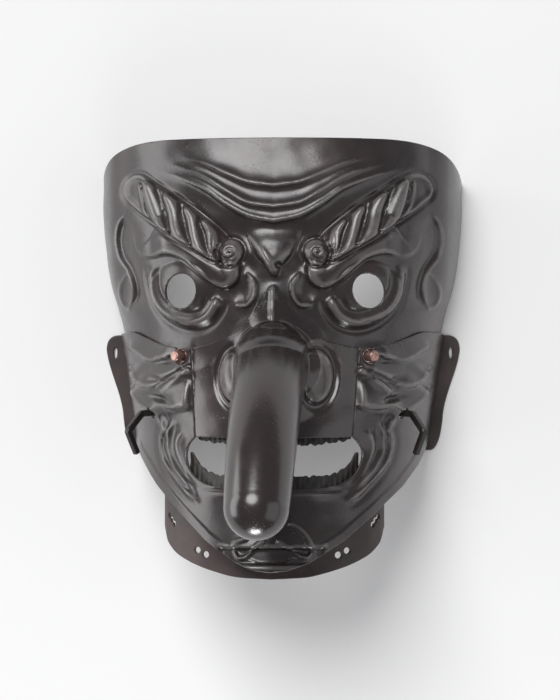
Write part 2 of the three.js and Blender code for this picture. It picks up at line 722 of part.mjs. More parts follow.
// A flat ear plate under the rim, with a slot for lacing and a leg inside the wall.
function earFlange(side) {
  const { top, bottom, outerTop, outerBottom, inner } = FLANGE;
  const outline = new THREE.Path();
  outline.moveTo(outerTop - 7, top);
  outline.quadraticCurveTo(outerTop, top, outerTop, top - 8);
  outline.bezierCurveTo(outerTop - 1.5, -8, outerBottom + 7, -18, outerBottom + 5.5, bottom + 20);
  outline.quadraticCurveTo(outerBottom + 4, bottom, outerBottom - 2, bottom);
  const edge = outline.getPoints(6).map((p) => [p.x, p.y]);
  const plate = prism([...edge, [inner - 3, bottom], [inner, top]], 0, SHEET);
  const leg = [[inner - 3, bottom], [inner - 1.4, bottom], [inner + 1.6, top], [inner, top]];
  const slot = ellipse({ x: 90.5, y: 2.5, rx: 1.2, ry: 3.6 }, 12);
  const solid = plate.add(prism(leg, 0, FLANGE.leg)).subtract(prism(slot, -1));
  const geometry = toGeometry(solid);
  return side > 0 ? geometry : flipped(geometry);
}

const toVector = ([x, y]) => new THREE.Vector2(x, y);

// The mirror image of a geometry, with its faces still pointing out.
function flipped(geometry) {
  const copy = geometry.clone().applyMatrix4(new THREE.Matrix4().makeScale(-1, 1, 1));
  const order = copy.index.array;
  for (let i = 0; i < order.length; i += 3) [order[i + 1], order[i + 2]] = [order[i + 2], order[i + 1]];
  copy.computeVertexNormals();
  return copy;
}

// A bent square rod that stands out from the cheek, turns outwards and then down.
function cordHook({ side, foot, normal }) {
  const mirror = new THREE.Vector3(side, 1, 1);
  const knees = [
    foot.clone().addScaledVector(normal, -HOOK.buried),
    foot.clone().addScaledVector(normal, HOOK.proud),
    new THREE.Vector3(74.5, -35.5, 69).multiply(mirror),
    new THREE.Vector3(71.5, -48, 65).multiply(mirror),
  ];
  const path = [knees[0], ...softened(knees, 1), ...softened(knees, 2), knees[3]];
  const curve = new THREE.CatmullRomCurve3(path, false, "catmullrom", 0.1);
  const half = HOOK.thickness / 2;
  const square = new THREE.Shape([[-half, -half], [half, -half], [half, half], [-half, half]].map(toVector));
  return new THREE.ExtrudeGeometry(square, { extrudePath: curve, steps: 20, bevelEnabled: false });
}

// Two points just before and just after a knee.
function softened(knees, i) {
  return [knees[i - 1].clone().lerp(knees[i], 0.85), knees[i].clone().lerp(knees[i + 1], 0.15)];
}

// ---- The assembly ----
function named(name, geometry, material) {
  const mesh = new THREE.Mesh(geometry, material.clone());
  mesh.name = name;
  return mesh;
}

const mask = new THREE.Group();
mask.add(named("brow_plate", toGeometry(browPlate()), FINISH.plate));
mask.add(named("jaw_plate", toGeometry(jawPlate()), FINISH.plate));
mask.add(named("nose_plate", toGeometry(nosePlate()), FINISH.plate));
mask.add(named("throat_plate", toGeometry(throatPlate()), FINISH.throat));
mask.add(named("upper_teeth", toGeometry(upperTeeth()), FINISH.teeth));
mask.add(named("lower_teeth", toGeometry(lowerTeeth()), FINISH.teeth));
const sideName = (side) => (side > 0 ? "left" : "right");
for (const place of pinPlaces) {
  const pin = bar(place, PIN.radius, -PIN.buried, PIN.proud);
  mask.add(named(sideName(place.side) + "_pin", pin, FINISH.copper));
}
for (const place of hookPlaces) {
  mask.add(named(sideName(place.side) + "_cord_hook", cordHook(place), FINISH.hook));
}
for (const side of [-1, 1]) {
  mask.add(named(sideName(side) + "_ear_flange", earFlange(side), FINISH.flange));
}

export default mask;
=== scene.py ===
"""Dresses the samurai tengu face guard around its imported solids.

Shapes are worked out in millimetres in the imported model's own frame and become metres when a mesh is
made. +X is the wearer's left, +Y points to the forehead and +Z comes out of the face.
"""

from __future__ import annotations

import logging
import math
from dataclasses import dataclass
from enum import Enum
from typing import Callable, Iterable, Optional, Sequence, Union

import bmesh
import bpy
import numpy as np
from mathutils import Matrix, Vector

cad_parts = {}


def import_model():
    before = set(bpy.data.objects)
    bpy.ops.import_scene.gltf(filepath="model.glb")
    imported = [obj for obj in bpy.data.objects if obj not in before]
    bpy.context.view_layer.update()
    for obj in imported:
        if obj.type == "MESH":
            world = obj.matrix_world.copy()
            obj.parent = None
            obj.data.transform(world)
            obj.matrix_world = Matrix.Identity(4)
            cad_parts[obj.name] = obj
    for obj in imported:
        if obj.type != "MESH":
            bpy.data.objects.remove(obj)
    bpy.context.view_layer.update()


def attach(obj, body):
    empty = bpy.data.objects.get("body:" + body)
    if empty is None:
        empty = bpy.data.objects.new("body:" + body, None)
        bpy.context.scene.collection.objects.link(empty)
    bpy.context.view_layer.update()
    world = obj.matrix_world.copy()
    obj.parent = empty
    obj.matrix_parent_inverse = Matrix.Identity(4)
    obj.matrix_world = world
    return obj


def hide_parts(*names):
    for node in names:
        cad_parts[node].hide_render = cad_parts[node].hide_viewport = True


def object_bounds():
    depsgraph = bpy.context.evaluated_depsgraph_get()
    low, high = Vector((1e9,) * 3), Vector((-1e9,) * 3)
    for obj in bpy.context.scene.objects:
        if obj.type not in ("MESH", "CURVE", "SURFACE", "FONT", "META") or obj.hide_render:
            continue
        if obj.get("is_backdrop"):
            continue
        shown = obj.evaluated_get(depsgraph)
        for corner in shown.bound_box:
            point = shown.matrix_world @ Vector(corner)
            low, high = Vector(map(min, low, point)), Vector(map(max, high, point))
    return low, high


LOG = logging.getLogger("face_guard")
MM = 0.001
BODY = "root"
Array = np.ndarray
Number = Union["Value", float]

SHEET = 1.6
GAP = 0.35
BROW_SETBACK = SHEET + GAP
TONGUE = 6.0
TOP_Y = 112.0
FLANGE_TOP = 12.0
EDGE = 0.3


class Side(Enum):
    """The wearer's side, as the sign of x."""

    LEFT = 1
    RIGHT = -1

    @property
    def word(self) -> str:
        """The side's plain name."""
        return self.name.lower()


# ---- Numbers and curves ----


def smooth(low: float, high: float, v: Array) -> Array:
    """A soft step from 0 at low to 1 at high."""
    t = np.clip((v - low) / (high - low), 0.0, 1.0)
    return t * t * (3 - 2 * t)


def bell(v: Array, width: float) -> Array:
    """A round bump of height 1 about v = 0."""
    return np.exp(-((v / width) ** 2))


def dome(x: Array, y: Array, centre: Sequence[float], radii: Sequence[float]) -> Array:
    """A paraboloid of height 1 over an ellipse, 0 outside it."""
    return np.clip(1 - ((x - centre[0]) / radii[0]) ** 2 - ((y - centre[1]) / radii[1]) ** 2, 0, 1)


def shingle(above: Array, fall: float, drop: float = 1.4) -> Array:
    """The edge of an overlapping step: a slow rise down to its crest, then a steep hollow drop."""
    return np.exp(-np.maximum(above, 0) / fall) * np.exp(np.minimum(above, 0) / drop)


def through(pairs: Iterable[Sequence[float]]) -> Callable[[Array], Array]:
    """A smooth curve through (key, value) pairs that never overshoots them.

    Args:
        pairs: the keys and their values, in any order.

    Returns:
        A function of a key or an array of keys.
    """
    keys, values = (np.array(c, float) for c in zip(*sorted(tuple(p) for p in pairs)))
    slope = np.diff(values) / np.diff(keys)
    product = slope[:-1] * slope[1:]
    total = np.where(slope[:-1] + slope[1:] == 0, 1, slope[:-1] + slope[1:])
    tangent = np.concatenate([slope[:1], np.where(product <= 0, 0, 2 * product / total), slope[-1:]])

    def value(key: Array) -> Array:
        """The curve's value at a key, held at its ends."""
        k = np.clip(key, keys[0], keys[-1])
        i = np.clip(np.searchsorted(keys, k) - 1, 0, len(keys) - 2)
        h = keys[i + 1] - keys[i]
        t = (k - keys[i]) / h
        ends = (1 + 2 * t) * (1 - t) ** 2 * values[i] + t * t * (3 - 2 * t) * values[i + 1]
        return ends + h * (t * (1 - t) ** 2 * tangent[i] - t * t * (1 - t) * tangent[i + 1])

    return value


def spline(points: Sequence[Sequence[float]], samples: int = 40) -> Array:
    """Points along a smooth line through the given points, which may have any number of coordinates."""
    p = np.array(points, float)
    last = len(p) - 1
    out = []
    for t in np.linspace(0, last, samples + 1):
        i = min(int(t), last - 1)
        u = t - i
        before, start, end, after = p[max(i - 1, 0)], p[i], p[i + 1], p[min(i + 2, last)]
        leave, arrive = (end - before) / 2, (after - start) / 2
        cubic = (2 * (start - end) + leave + arrive) * u**3
        square = (3 * (end - start) - 2 * leave - arrive) * u**2
        out.append(cubic + square + leave * u + start)
    return np.array(out)


@dataclass(frozen=True)
class Near:
    """Where points lie against a line: distance, left side positive, and how far along it."""

    distance: Array
    signed: Array
    share: Array
    length: Array

    def ends(self, share: float) -> Array:
        """Fades a form out at both ends of its line."""
        return smooth(0, share, self.share) * smooth(0, share, 1 - self.share)


class Line:
    """A smooth or straight-sided line on the face, seen from the front."""

    REACH = 24.0

    def __init__(self, points: Sequence[Sequence[float]], samples: Optional[int] = 40) -> None:
        """Keeps the line's points.

        Args:
            points: the places it runs through.
            samples: how many stretches it is rounded into, or None to keep it straight-sided.
        """
        self.points = spline(points, samples) if samples else np.array(points, float)
        self.lengths = np.concatenate([[0], np.cumsum(np.hypot(*np.diff(self.points, axis=0).T))])

    def near(self, x: Array, y: Array) -> Near:
        """The nearest place on the line to each point.

        Args:
            x: the points' places across.
            y: the points' heights.

        Returns:
            The distances and the places along.
        """
        low, high = self.points.min(axis=0) - self.REACH, self.points.max(axis=0) + self.REACH
        close = (x > low[0]) & (x < high[0]) & (y > low[1]) & (y < high[1])
        found = self.measured(x[close], y[close])
        out = []
        for values, far in zip(found, (self.REACH, -self.REACH, 0.0, 0.0)):
            whole = np.full(np.shape(x), far)
            whole[close] = values
            out.append(whole)
        return Near(*out)

    def measured(self, x: Array, y: Array) -> tuple[Array, Array, Array, Array]:
        """The distance, signed distance, share and length for points near the line.

        Args:
            x: the points' places across.
            y: the points' heights.

        Returns:
            The four arrays.
        """
        best = np.full(np.shape(x), np.inf)
        signed, share, length = np.zeros_like(best), np.zeros_like(best), np.zeros_like(best)
        count = len(self.points) - 1
        for i in range(count):
            (ax, ay), (ex, ey) = self.points[i], self.points[i + 1] - self.points[i]
            square = ex * ex + ey * ey
            t = np.clip(((x - ax) * ex + (y - ay) * ey) / square, 0, 1)
            dx, dy = x - ax - t * ex, y - ay - t * ey
            distance = np.hypot(dx, dy)
            closer = distance < best
            best = np.where(closer, distance, best)
            signed = np.where(closer, np.where(ex * dy - ey * dx >= 0, distance, -distance), signed)
            share = np.where(closer, (i + t) / count, share)
            length = np.where(closer, self.lengths[i] + t * math.sqrt(square), length)
        return best, signed, share, length


class Outline:
    """A closed outline, seen from the front."""

    def __init__(self, points: Sequence[Sequence[float]]) -> None:
        """Keeps the corners and closes the ring."""
        ring = np.array(points, float)
        self.ring = np.vstack([ring, ring[:1]])

    def inside(self, x: Array, y: Array) -> Array:
        """Distance from the outline, positive inside it."""
        crossings = np.zeros(np.shape(x), bool)
        for (ax, ay), (bx, by) in zip(self.ring[:-1], self.ring[1:]):
            if ay == by:
                continue
            spans = (ay > y) != (by > y)
            crossings ^= spans & (x < (bx - ax) * (y - ay) / (by - ay) + ax)
        distance = Line(self.ring, None).near(x, y).distance
        return np.where(crossings, distance, -distance)


def mirrored(half: Array) -> Array:
    """A right half outline followed by its mirror image backwards."""
    half = np.array(half, float)
    return np.vstack([half, (half * [-1, 1])[::-1]])


def ellipse(x: float, y: float, rx: float, ry: float, tilt: float = 0.0, sides: int = 48) -> Outline:
    """An elliptical outline, tilted counterclockwise by an angle in radians."""
    a = np.linspace(0, 2 * math.pi, sides, endpoint=False)
    u, v = rx * np.cos(a), ry * np.sin(a)
    return Outline(np.c_[x + u * math.cos(tilt) - v * math.sin(tilt), y + u * math.sin(tilt) + v * math.cos(tilt)])


# ---- The face surface and its hammered forms ----


class Face:
    """The smooth surface that every plate is raised from."""

    ROWS = (
        # y, half width, rim depth, crown depth, roundness
        (116, 96, -5, 81, 2.3),
        (80, 96.5, -5, 87, 2.3),
        (50, 94, -5, 89, 2.3),
        (25, 89.5, -5, 88, 2.2),
        (8, 86.5, -5, 89, 2.1),
        (-15, 83, -5, 93, 2.0),
        (-35, 80, -5, 98, 1.95),
        (-50, 78, 2, 101, 1.9),
        (-65, 72, 26, 104, 1.9),
        (-80, 62, 50, 108, 1.9),
        (-95, 48, 75, 113, 1.9),
        (-104, 36, 92, 114, 1.9),
        (-116, 22, 100, 110, 1.9),
    )

    def __init__(self) -> None:
        """Turns the table's columns into functions of the height."""
        self.half_width, self.rim, self.crown, self.power = (
            through([(row[0], row[k]) for row in self.ROWS]) for k in range(1, 5)
        )

    def point(self, turn: Array, y: Array) -> Array:
        """Points of the surface: turn runs from -1 at one rim to 1 at the other."""
        turn, y = np.broadcast_arrays(np.asarray(turn, float), np.asarray(y, float))
        angle = turn * math.pi / 2
        power = 2 / self.power(y)
        x = self.half_width(y) * np.sign(turn) * np.abs(np.sin(angle)) ** power
        rim = self.rim(y)
        z = rim + (self.crown(y) - rim) * np.maximum(np.cos(angle), 0) ** power
        return np.stack([x, y, z], axis=-1)

    def normal(self, turn: Array, y: Array) -> Array:
        """Directions out of the surface."""
        step = 0.01
        t = np.clip(turn, step - 1, 1 - step)
        across = self.point(t + step, y) - self.point(t - step, y)
        up = self.point(t, y + 1) - self.point(t, y - 1)
        out = np.cross(across, up)
        return out / np.linalg.norm(out, axis=-1, keepdims=True)

    def turn_at(self, x: Array, y: Array) -> Array:
        """The turn that reaches a given x at a given height."""
        share = np.clip(np.abs(x) / self.half_width(y), 0, 1)
        return np.sign(x) * np.arcsin(share ** (self.power(y) / 2)) * 2 / math.pi

    def place(self, x: float, y: float) -> tuple[Array, Array]:
        """The surface's point and direction out at a place seen from the front."""
        turn = self.turn_at(np.array(x), np.array(y))
        return self.point(turn, y), self.normal(turn, np.array(float(y)))

    def columns(self, step: float, side_step: float, front: float) -> Array:
        """Turns spaced evenly over the front of the face and wider on its steep sides.

        Args:
            step: spacing within the front.
            side_step: spacing beyond it.
            front: half the front's width.

        Returns:
            The turns from one rim to the other.
        """
        turns = np.linspace(0, 1, 2000)
        run = self.point(turns, 30.0)
        lengths = np.linalg.norm(np.diff(run, axis=0), axis=1)
        spacing = step + (side_step - step) * smooth(front - 6, front + 4, run[1:, 0])
        counts = np.concatenate([[0], np.cumsum(lengths / spacing)])
        half = np.interp(np.linspace(0, counts[-1], int(counts[-1])), counts, turns)
        return np.concatenate([-half[:0:-1], half])


class Relief:
    """Heights of the hammered forms above the face surface, by place seen from the front."""

    SPIRAL = (22.2, 53.4)
    SPIRAL_RADIUS = 6.8
    SPIRAL_PITCH = 2.3
    NOSE_X = 1.4
    EYE = (48.0, 34.0)

    WRINKLES = (
        # reach, height, crest line
        (56, 3.0, ((0, 87), (12, 88.6), (24, 93.2), (36, 98.8), (54, 104.5))),
        (62, 3.3, ((0, 76.3), (12, 78), (24, 84.3), (36, 92), (60, 101))),
        (70, 3.8, ((0, 69), (12, 71.5), (24, 77.8), (36, 86.2), (68, 98.5))),
    )
    BROW = (
        # x, y, half width
        (24.5, 52.6, 4.8),
        (28, 55.2, 6.2),
        (33, 59.3, 7.3),
        (41, 65, 8.0),
        (50, 71, 8.5),
        (65.5, 81.2, 8.3),
        (73.4, 87, 7.8),
    )
    LOBES = (
        # half width, height, spine from the top down
        (1.9, 1.3, ((71.5, 89.4), (70.4, 83.2), (68.6, 77.4), (65, 71.6))),
        (4.7, 4.0, ((65.8, 88.6), (63.6, 82.2), (61.4, 76.4), (59.2, 71.2), (56, 66.4), (53.2, 63))),
        (4.7, 4.2, ((54.4, 82), (51.8, 76), (50, 70.4), (48, 65.1), (44.4, 59.5), (41, 55.4))),
        (4.4, 4.2, ((43.6, 74.8), (41.2, 69.6), (39.4, 64.4), (37.8, 59.3), (34.9, 54.2), (31.6, 50.4))),
        (3.9, 3.9, ((34.8, 68.4), (31.9, 63.6), (30.2, 58.4), (28.9, 54), (26.6, 50), (22.6, 47.6))),
    )
    STRANDS = (
        ((69, 88.6), (69, 83.5), (67.8, 77.6)),
        ((57.9, 85), (56.9, 79.6), (56.2, 74)),
        ((46.4, 77.4), (45.3, 71.6), (44, 64.4)),
        ((36.6, 69.6), (35.1, 62.8), (33.8, 55.8)),
    )
    RIDGE = (
        (17.8, 50), (17.2, 43.5), (18.6, 38.6), (23.5, 35.4), (29, 36.3), (35, 40.8), (42, 47),
        (49, 51.3), (57, 53), (66, 51.4), (72.4, 53.8), (75.6, 60.5), (76.8, 69.5),
    )
    TEMPLE = ((81, 75), (84.4, 69), (85.6, 61), (83.8, 52), (79.6, 44.5), (77.3, 37.5), (77.6, 31), (80.2, 25.2))
    LEAF = ((79.6, 44.5), (83.5, 39), (85, 33), (83.6, 27.5), (80.2, 25.2))
    LID = ((64.5, 48), (64.4, 39), (62, 31.5), (57, 24.6), (50, 19.8), (42, 18.2), (35, 20.5), (30.5, 26), (29, 30.5))
    CURL = ((14.5, 43.5), (9.6, 38), (9.8, 31), (14, 26.2), (20.5, 27))
    CHEEK_FOLDS = (
        # height, fall, line from the rim inwards
        (2.3, 6, ((80, 7), (70, 1.5), (63.5, -1.4), (55, 0.6))),
        (2.9, 6, ((78, -6), (72, -12), (64, -14.6), (57, -10.4), (49, -6.4))),
        (3.7, 9, ((78, -15), (72, -21.5), (64, -27.5), (57.5, -24.8), (50, -25.6), (42, -24.5))),
    )
    RIM_FOLDS = (
        # from the rim to the hollow of the cheek
        ((80, -4), (76, -7.5), (70.5, -13)),
        ((79.5, -14), (75, -19.5), (66, -27.5)),
    )
    SMILES = (
        # height, width, line down the cheek
        (2.2, 1.8, ((61.5, -29), (57.4, -36), (58.6, -43), (56.6, -52), (51, -60), (43.5, -67.5), (36, -73))),
        (2.0, 1.8, ((52.5, -31), (54.8, -39), (54.6, -48), (50.3, -56.2), (44.5, -62.5), (38, -69))),
        (1.0, 3.2, ((46, -36), (49.5, -43), (48.6, -50), (44.5, -58), (38, -65))),
    )
    JAW_EDGE = (
        (90, -42), (78.5, -43.5), (75.5, -49), (71, -54.5), (62, -65),
        (47.5, -78.5), (33.5, -91), (18, -101.5), (8, -105.3), (0, -106),
    )
    JAW_EDGE_LEFT = (
        (90, -42), (79, -43.5), (77, -49.5), (73.5, -56), (65.5, -66),
        (51.5, -78.5), (36.5, -91), (19.5, -101.5), (8, -105.3), (0, -106),
    )
    BAND = ((42.5, -6.8), (36, -5), (30.8, -1.2), (26.6, 2.6), (22, 7.5))
    ARCHES = (
        # lower groove, upper groove, height of the roll between them
        (13.2, 18.9, 2.0),
        (6.4, 13.2, 2.4),
    )
    WING = ((20.0, -9.5), (9.0, 13.8))

    def __init__(self) -> None:
        """Rounds the tables' lines once."""
        self.crests = [through(crest) for _, _, crest in self.WRINKLES]
        self.brow_line = Line([row[:2] for row in self.BROW])
        steps = len(self.BROW) - 1
        self.brow_half = through([(i / steps, row[2]) for i, row in enumerate(self.BROW)])
        self.jaw_edges = {Side.LEFT: Line(self.JAW_EDGE_LEFT, None), Side.RIGHT: Line(self.JAW_EDGE, None)}

    def forehead(self, s: Array, y: Array) -> Array:
        """Three overlapping steps across the forehead, each with a bright lip and a groove under it."""
        total = np.zeros_like(s)
        for (reach, height, _), crest in zip(self.WRINKLES, self.crests):
            above = y - crest(s)
            fade = 1 - smooth(0.3, 1, s / reach)
            total += fade * height * shingle(above, 4.6, 1.7)
        hollow = 2.4 * bell(y - 60 - 0.12 * s, 6.5) * (1 - smooth(14, 46, s))
        return total - hollow

    def rope(self, s: Array, y: Array) -> Array:
        """The twisted brow: fat drops with a thin strand between them, ending in a plain leaf."""
        at = self.brow_line.near(s, y)
        inset = self.brow_half(at.share) - at.distance
        outer = smooth(64, 70, s)
        body = 1.1 * smooth(-0.8, 0.9, inset) + 0.5 * bell(inset - 0.4, 0.7) * outer
        leaf = 0.7 * smooth(0.6, 4, inset) * outer
        drops = np.zeros_like(s)
        for half, height, points in self.LOBES:
            lobe = Line(points).near(s, y)
            width = half * np.sin(math.pi * (0.17 + 0.8 * lobe.share)) ** 0.6
            drops = np.maximum(drops, height * np.clip(1 - (lobe.distance / width) ** 2, 0, 1))
        for points in self.STRANDS:
            strand = Line(points).near(s, y)
            drops = np.maximum(drops, 1.3 * bell(strand.distance, 0.8) * strand.ends(0.3))
        return body - leaf + drops * smooth(-0.6, 1.4, inset) - 0.8 * bell(inset + 1.2, 0.9)

    def spiral(self, s: Array, y: Array) -> Array:
        """The curl at the brow's inner end: a disc with a wound line on it."""
        dx, dy = s - self.SPIRAL[0], y - self.SPIRAL[1]
        radius = np.hypot(dx, dy)
        start = math.radians(-38)
        turns = (np.arctan2(dy, dx) - start) / (2 * math.pi)
        wound = (radius - 4.6) / self.SPIRAL_PITCH - turns
        off = self.SPIRAL_PITCH * (wound - np.round(wound))
        line = 1.2 * bell(off, 0.5) * (1 - smooth(4.0, 4.9, radius))
        body = 3.0 * np.clip(1.02 - (radius / self.SPIRAL_RADIUS) ** 2, 0, 1) ** 0.5
        groove = 1.0 * bell(radius - self.SPIRAL_RADIUS - 0.9, 0.8)
        return 0.6 + body + line, groove

    def brow(self, s: Array, y: Array) -> Array:
        """The brow with its curl."""
        disc, groove = self.spiral(s, y)
        radius = np.hypot(s - self.SPIRAL[0], y - self.SPIRAL[1])
        clear = smooth(self.SPIRAL_RADIUS - 0.3, self.SPIRAL_RADIUS + 0.5, radius)
        return self.rope(s, y) * clear + disc * (1 - clear) - groove * (1 - 0.8 * smooth(22, 27, s))

    def ridge(self, s: Array, y: Array) -> Array:
        """The smooth roll of the upper lid, which ends in a drop over the eye."""
        at = Line(self.RIDGE).near(s, y)
        inside = at.signed
        strong = 1 - 0.7 * smooth(54, 66, s)
        step = 3.3 * smooth(-1.3, 0.9, inside) * (1 - smooth(8, 22, inside))
        lip = 0.3 * bell(inside - 0.9, 0.8) + 1.4 * np.clip(1 - ((inside - 5.5) / 5.5) ** 2, 0, 1)
        return strong * (step + lip) * smooth(0, 0.06, at.share) * smooth(0, 0.2, 1 - at.share)

    def eye(self, s: Array, y: Array) -> Array:
        """The eyeball, the ring of the lower lid and the groove between them."""
        ball = dome(s, y, self.EYE, (17.5, 15.5))
        lid = Line(self.LID).near(s, y)
        ring = 3.0 * bell(lid.distance, 2.7)
        groove = 1.0 * bell(lid.distance - 4.9, 1.5)
        corner = 1.0 * bell(np.hypot(s - 29.6, y - 29.5), 1.6)
        return 4.4 * ball**0.85 + (ring - groove) * lid.ends(0.12) + corner

    def curl(self, s: Array, y: Array) -> Array:
        """The comma of skin at the eye's inner corner."""
        at = Line(self.CURL).near(s, y)
        dished = -1.3 * dome(s, y, (16, 34.5), (6.5, 8))
        rim = 2.2 * np.exp(-np.maximum(at.signed, 0) / 2.6) * np.exp(np.minimum(at.signed, 0) / 0.7)
        return rim * at.ends(0.18) + dished

    def temple(self, s: Array, y: Array) -> Array:
        """The channel beside the eye, ending below in an outlined leaf."""
        at = Line(self.TEMPLE).near(s, y)
        inner = -at.signed
        channel = -2.7 * smooth(-0.9, 1.1, inner) * np.exp(-np.maximum(inner, 0) / 6) * at.ends(0.16)
        leaf = Line(self.LEAF).near(s, y)
        outline = 0.7 * bell(leaf.distance, 0.8) * smooth(0, 0.15, leaf.share)
        dished = -0.9 * dome(s, y, (81.5, 34), (3.4, 9))
        outer = 2.1 * smooth(79, 89, s) * smooth(14, 42, y)
        return channel + outline + dished + outer + 0.5 * bell(at.distance, 0.8) * at.ends(0.1)

    def frown(self, x: Array, y: Array) -> Array:
        """The pointed knob between the brows, with a pit beside its tip."""
        width = np.interp(y, [40, 45, 52, 60, 66], [0.6, 3.6, 9.5, 13, 15])
        top = smooth(68, 58, y) * smooth(40.5, 45, y)
        body = 4.6 * np.clip(1 - (x / width) ** 2, 0, 1) ** 0.7 * top
        crest = 1.2 * bell(x + 1 + 0.55 * (y - 46), 2.0) * smooth(44, 47, y) * smooth(60, 52, y)
        pit = 2.6 * bell(np.hypot(x - 2.4, y - 46.8), 1.5)
        tip = 1.6 * bell(np.hypot(x - 1.2, y - 42.8), 2.0)
        side = 1.8 * bell(np.hypot(np.abs(x) - 13.5, y - 47), 5)
        return body + crest - pit + tip - side

    def bridge(self, x: Array, y: Array) -> Array:
        """The peak at the top of the nose: a narrow crest with a facet on each side."""
        facet = 2.6 * bell(x, 9) * smooth(41, 26, y) * smooth(-2, 12, y)
        crest = 1.6 * bell(x + 0.4, 1.7) * smooth(38, 34, y) * smooth(16, 21, y)
        return facet + crest + 1.2 * dome(x, y, (0, 20), (12, 9))

    def nose_root(self, s: Array, y: Array) -> Array:
        """The swelling around the nose with a wing on each side and a band over the wing."""
        root = 8.5 * dome(s, y, (0, -5), (30, 31)) ** 1.4
        (cx, cy), (rx, ry) = self.WING
        away = np.hypot((s - cx) / rx, (y - cy) / ry)
        wing = 4.6 * np.clip(1 - away**2, 0, 1) ** 0.6
        groove = 1.3 * bell((away - 1.12) * rx, 1.2)
        band = Line(self.BAND).near(s, y)
        lap = 0.4 * shingle(-band.signed, 6, 1.6) * smooth(0, 0.2, 1 - band.share) * smooth(21, 25, s)
        return root + wing - groove + lap

    def folds_on_nose(self, x: Array, y: Array) -> Array:
        """Skin folds across the top of the nose's root."""
        arch = y + 0.018 * (x - 0.5) ** 2
        folds = np.zeros_like(x)
        for low, high, rise in self.ARCHES:
            share = np.clip((arch - low) / (high - low), 0, 1)
            folds += rise * np.sin(math.pi * share**1.3) ** 0.8
        return folds * (1 - smooth(15, 21, np.abs(x)))

    def cheek(self, s: Array, y: Array) -> Array:
        """Folds that run from the rim to the cheekbone, and its hammered facet."""
        total = np.zeros_like(s)
        for height, fall, points in self.CHEEK_FOLDS:
            at = Line(points).near(s, y)
            total += height * shingle(-at.signed, fall, 1.3) * smooth(0, 0.14, at.share) * smooth(40.5, 44, s)
        for points in self.RIM_FOLDS:
            at = Line(points).near(s, y)
            total += 0.9 * bell(at.distance, 1.2) * at.ends(0.15)
        spine = Line(((42, -5.5), (49, -10.5), (58, -18.5))).near(s, y)
        total += 1.8 * bell(spine.distance, 2.4) * spine.ends(0.12)
        total += 2.0 * dome(s, y, (48, -17.5), (9, 7.5)) ** 0.8 * smooth(41, 43.5, s)
        total -= 2.4 * bell((s - 60.5) / 1.9 - 0.2 * (y + 10), 2.2) * bell(y + 11.5, 2.2)
        total -= 3.0 * bell((s - 58.8) / 2.2, 2.2) * bell(y + 21.3 - 0.25 * (s - 58), 1.7)
        return total - 1.6 * bell((s - 57) / 2.4, 2.2) * bell(y + 1.6, 1.6)

    def smile(self, s: Array, y: Array) -> Array:
        """Long creases from the cheek round the corner of the mouth."""
        total = np.zeros_like(s)
        for height, width, points in self.SMILES:
            at = Line(points).near(s, y)
            crest = height * bell(at.distance, width) + 0.5 * bell(at.distance, 0.7)
            valley = 0.8 * bell(at.distance - 1.7 * width, 0.9 * width)
            total += (crest - valley) * at.ends(0.2)
        return total

    def chin(self, x: Array, s: Array, y: Array) -> Array:
        """The lower lip, the hollow with its bow, and the turned edge of the jaw."""
        lip = 1.5 * bell(y + 64.3, 1.1) - 0.7 * bell(y + 66.1, 0.6) + 0.9 * bell(y + 68, 1.9)
        fade = 1 - smooth(24, 36, s)
        hollow = 2.7 * smooth(-103.2, -101.2, y) * smooth(-93.4, -95, y) * (1 - smooth(24, 28, s))
        left, right = (self.jaw_edges[side].near(s, y).distance for side in Side)
        rim = np.where(x > 0, left, right)
        turned = (0.55 * (1 - smooth(3.6, 5.0, rim)) + 0.3 * bell(rim - 4.4, 0.5)) * smooth(-41, -47, y)
        return lip * fade - hollow + turned + self.bow(x, y)

    def bow(self, x: Array, y: Array) -> Array:
        """Two thin raised loops like the ends of a ribbon, across the chin's hollow."""
        loops = (
            ((-4, -90.5), (-9, -94.6), (-13.5, -98.4), (-17, -98.9), (-18.6, -95.5), (-17.6, -91.5), (-12, -89.5)),
            ((4, -91), (9.5, -94.3), (14.5, -97.4), (18.6, -98.6), (20.6, -95.5), (18.8, -90.5), (14, -85), (9.5, -82.6)),
        )
        inner = ((11, -86.5), (15.5, -89.5), (18, -94.5))
        total = sum(1.5 * bell(Line(loop).near(x, y).distance, 0.75) for loop in loops)
        return total + 0.8 * bell(Line(inner).near(x, y).distance, 0.6)

    def hand_work(self, x: Array, y: Array) -> Array:
        """The slight unevenness that the hammer leaves."""
        waves = ((0.31, 0.17, 0.4), (-0.22, 0.35, 1.9), (0.13, -0.41, 3.1), (0.47, 0.29, 5.2), (-0.38, 0.08, 2.2))
        return 0.035 * sum(np.sin(a * x + b * y + c) for a, b, c in waves)

    def height(self, x: Array, y: Array) -> Array:
        """All forms together.

        Args:
            x: places across, the wearer's left positive.
            y: heights on the face.

        Returns:
            How far the iron stands above the face surface.
        """
        s = np.abs(x)
        upper = self.forehead(s, y) + self.ridge(s, y) + self.eye(s, y) + self.temple(s, y) + self.curl(s, y)
        lower = self.cheek(s, y) + self.smile(s, y) + self.chin(x, s, y)
        total = upper * smooth(-4, 12, y) + lower * smooth(12, 4, y)
        nose = self.bridge(x, y) + self.nose_root(np.abs(x - self.NOSE_X), y)
        return total + self.brow(s, y) + self.frown(x, y) + nose + self.hand_work(x, y)


# ---- Sheets of iron ----


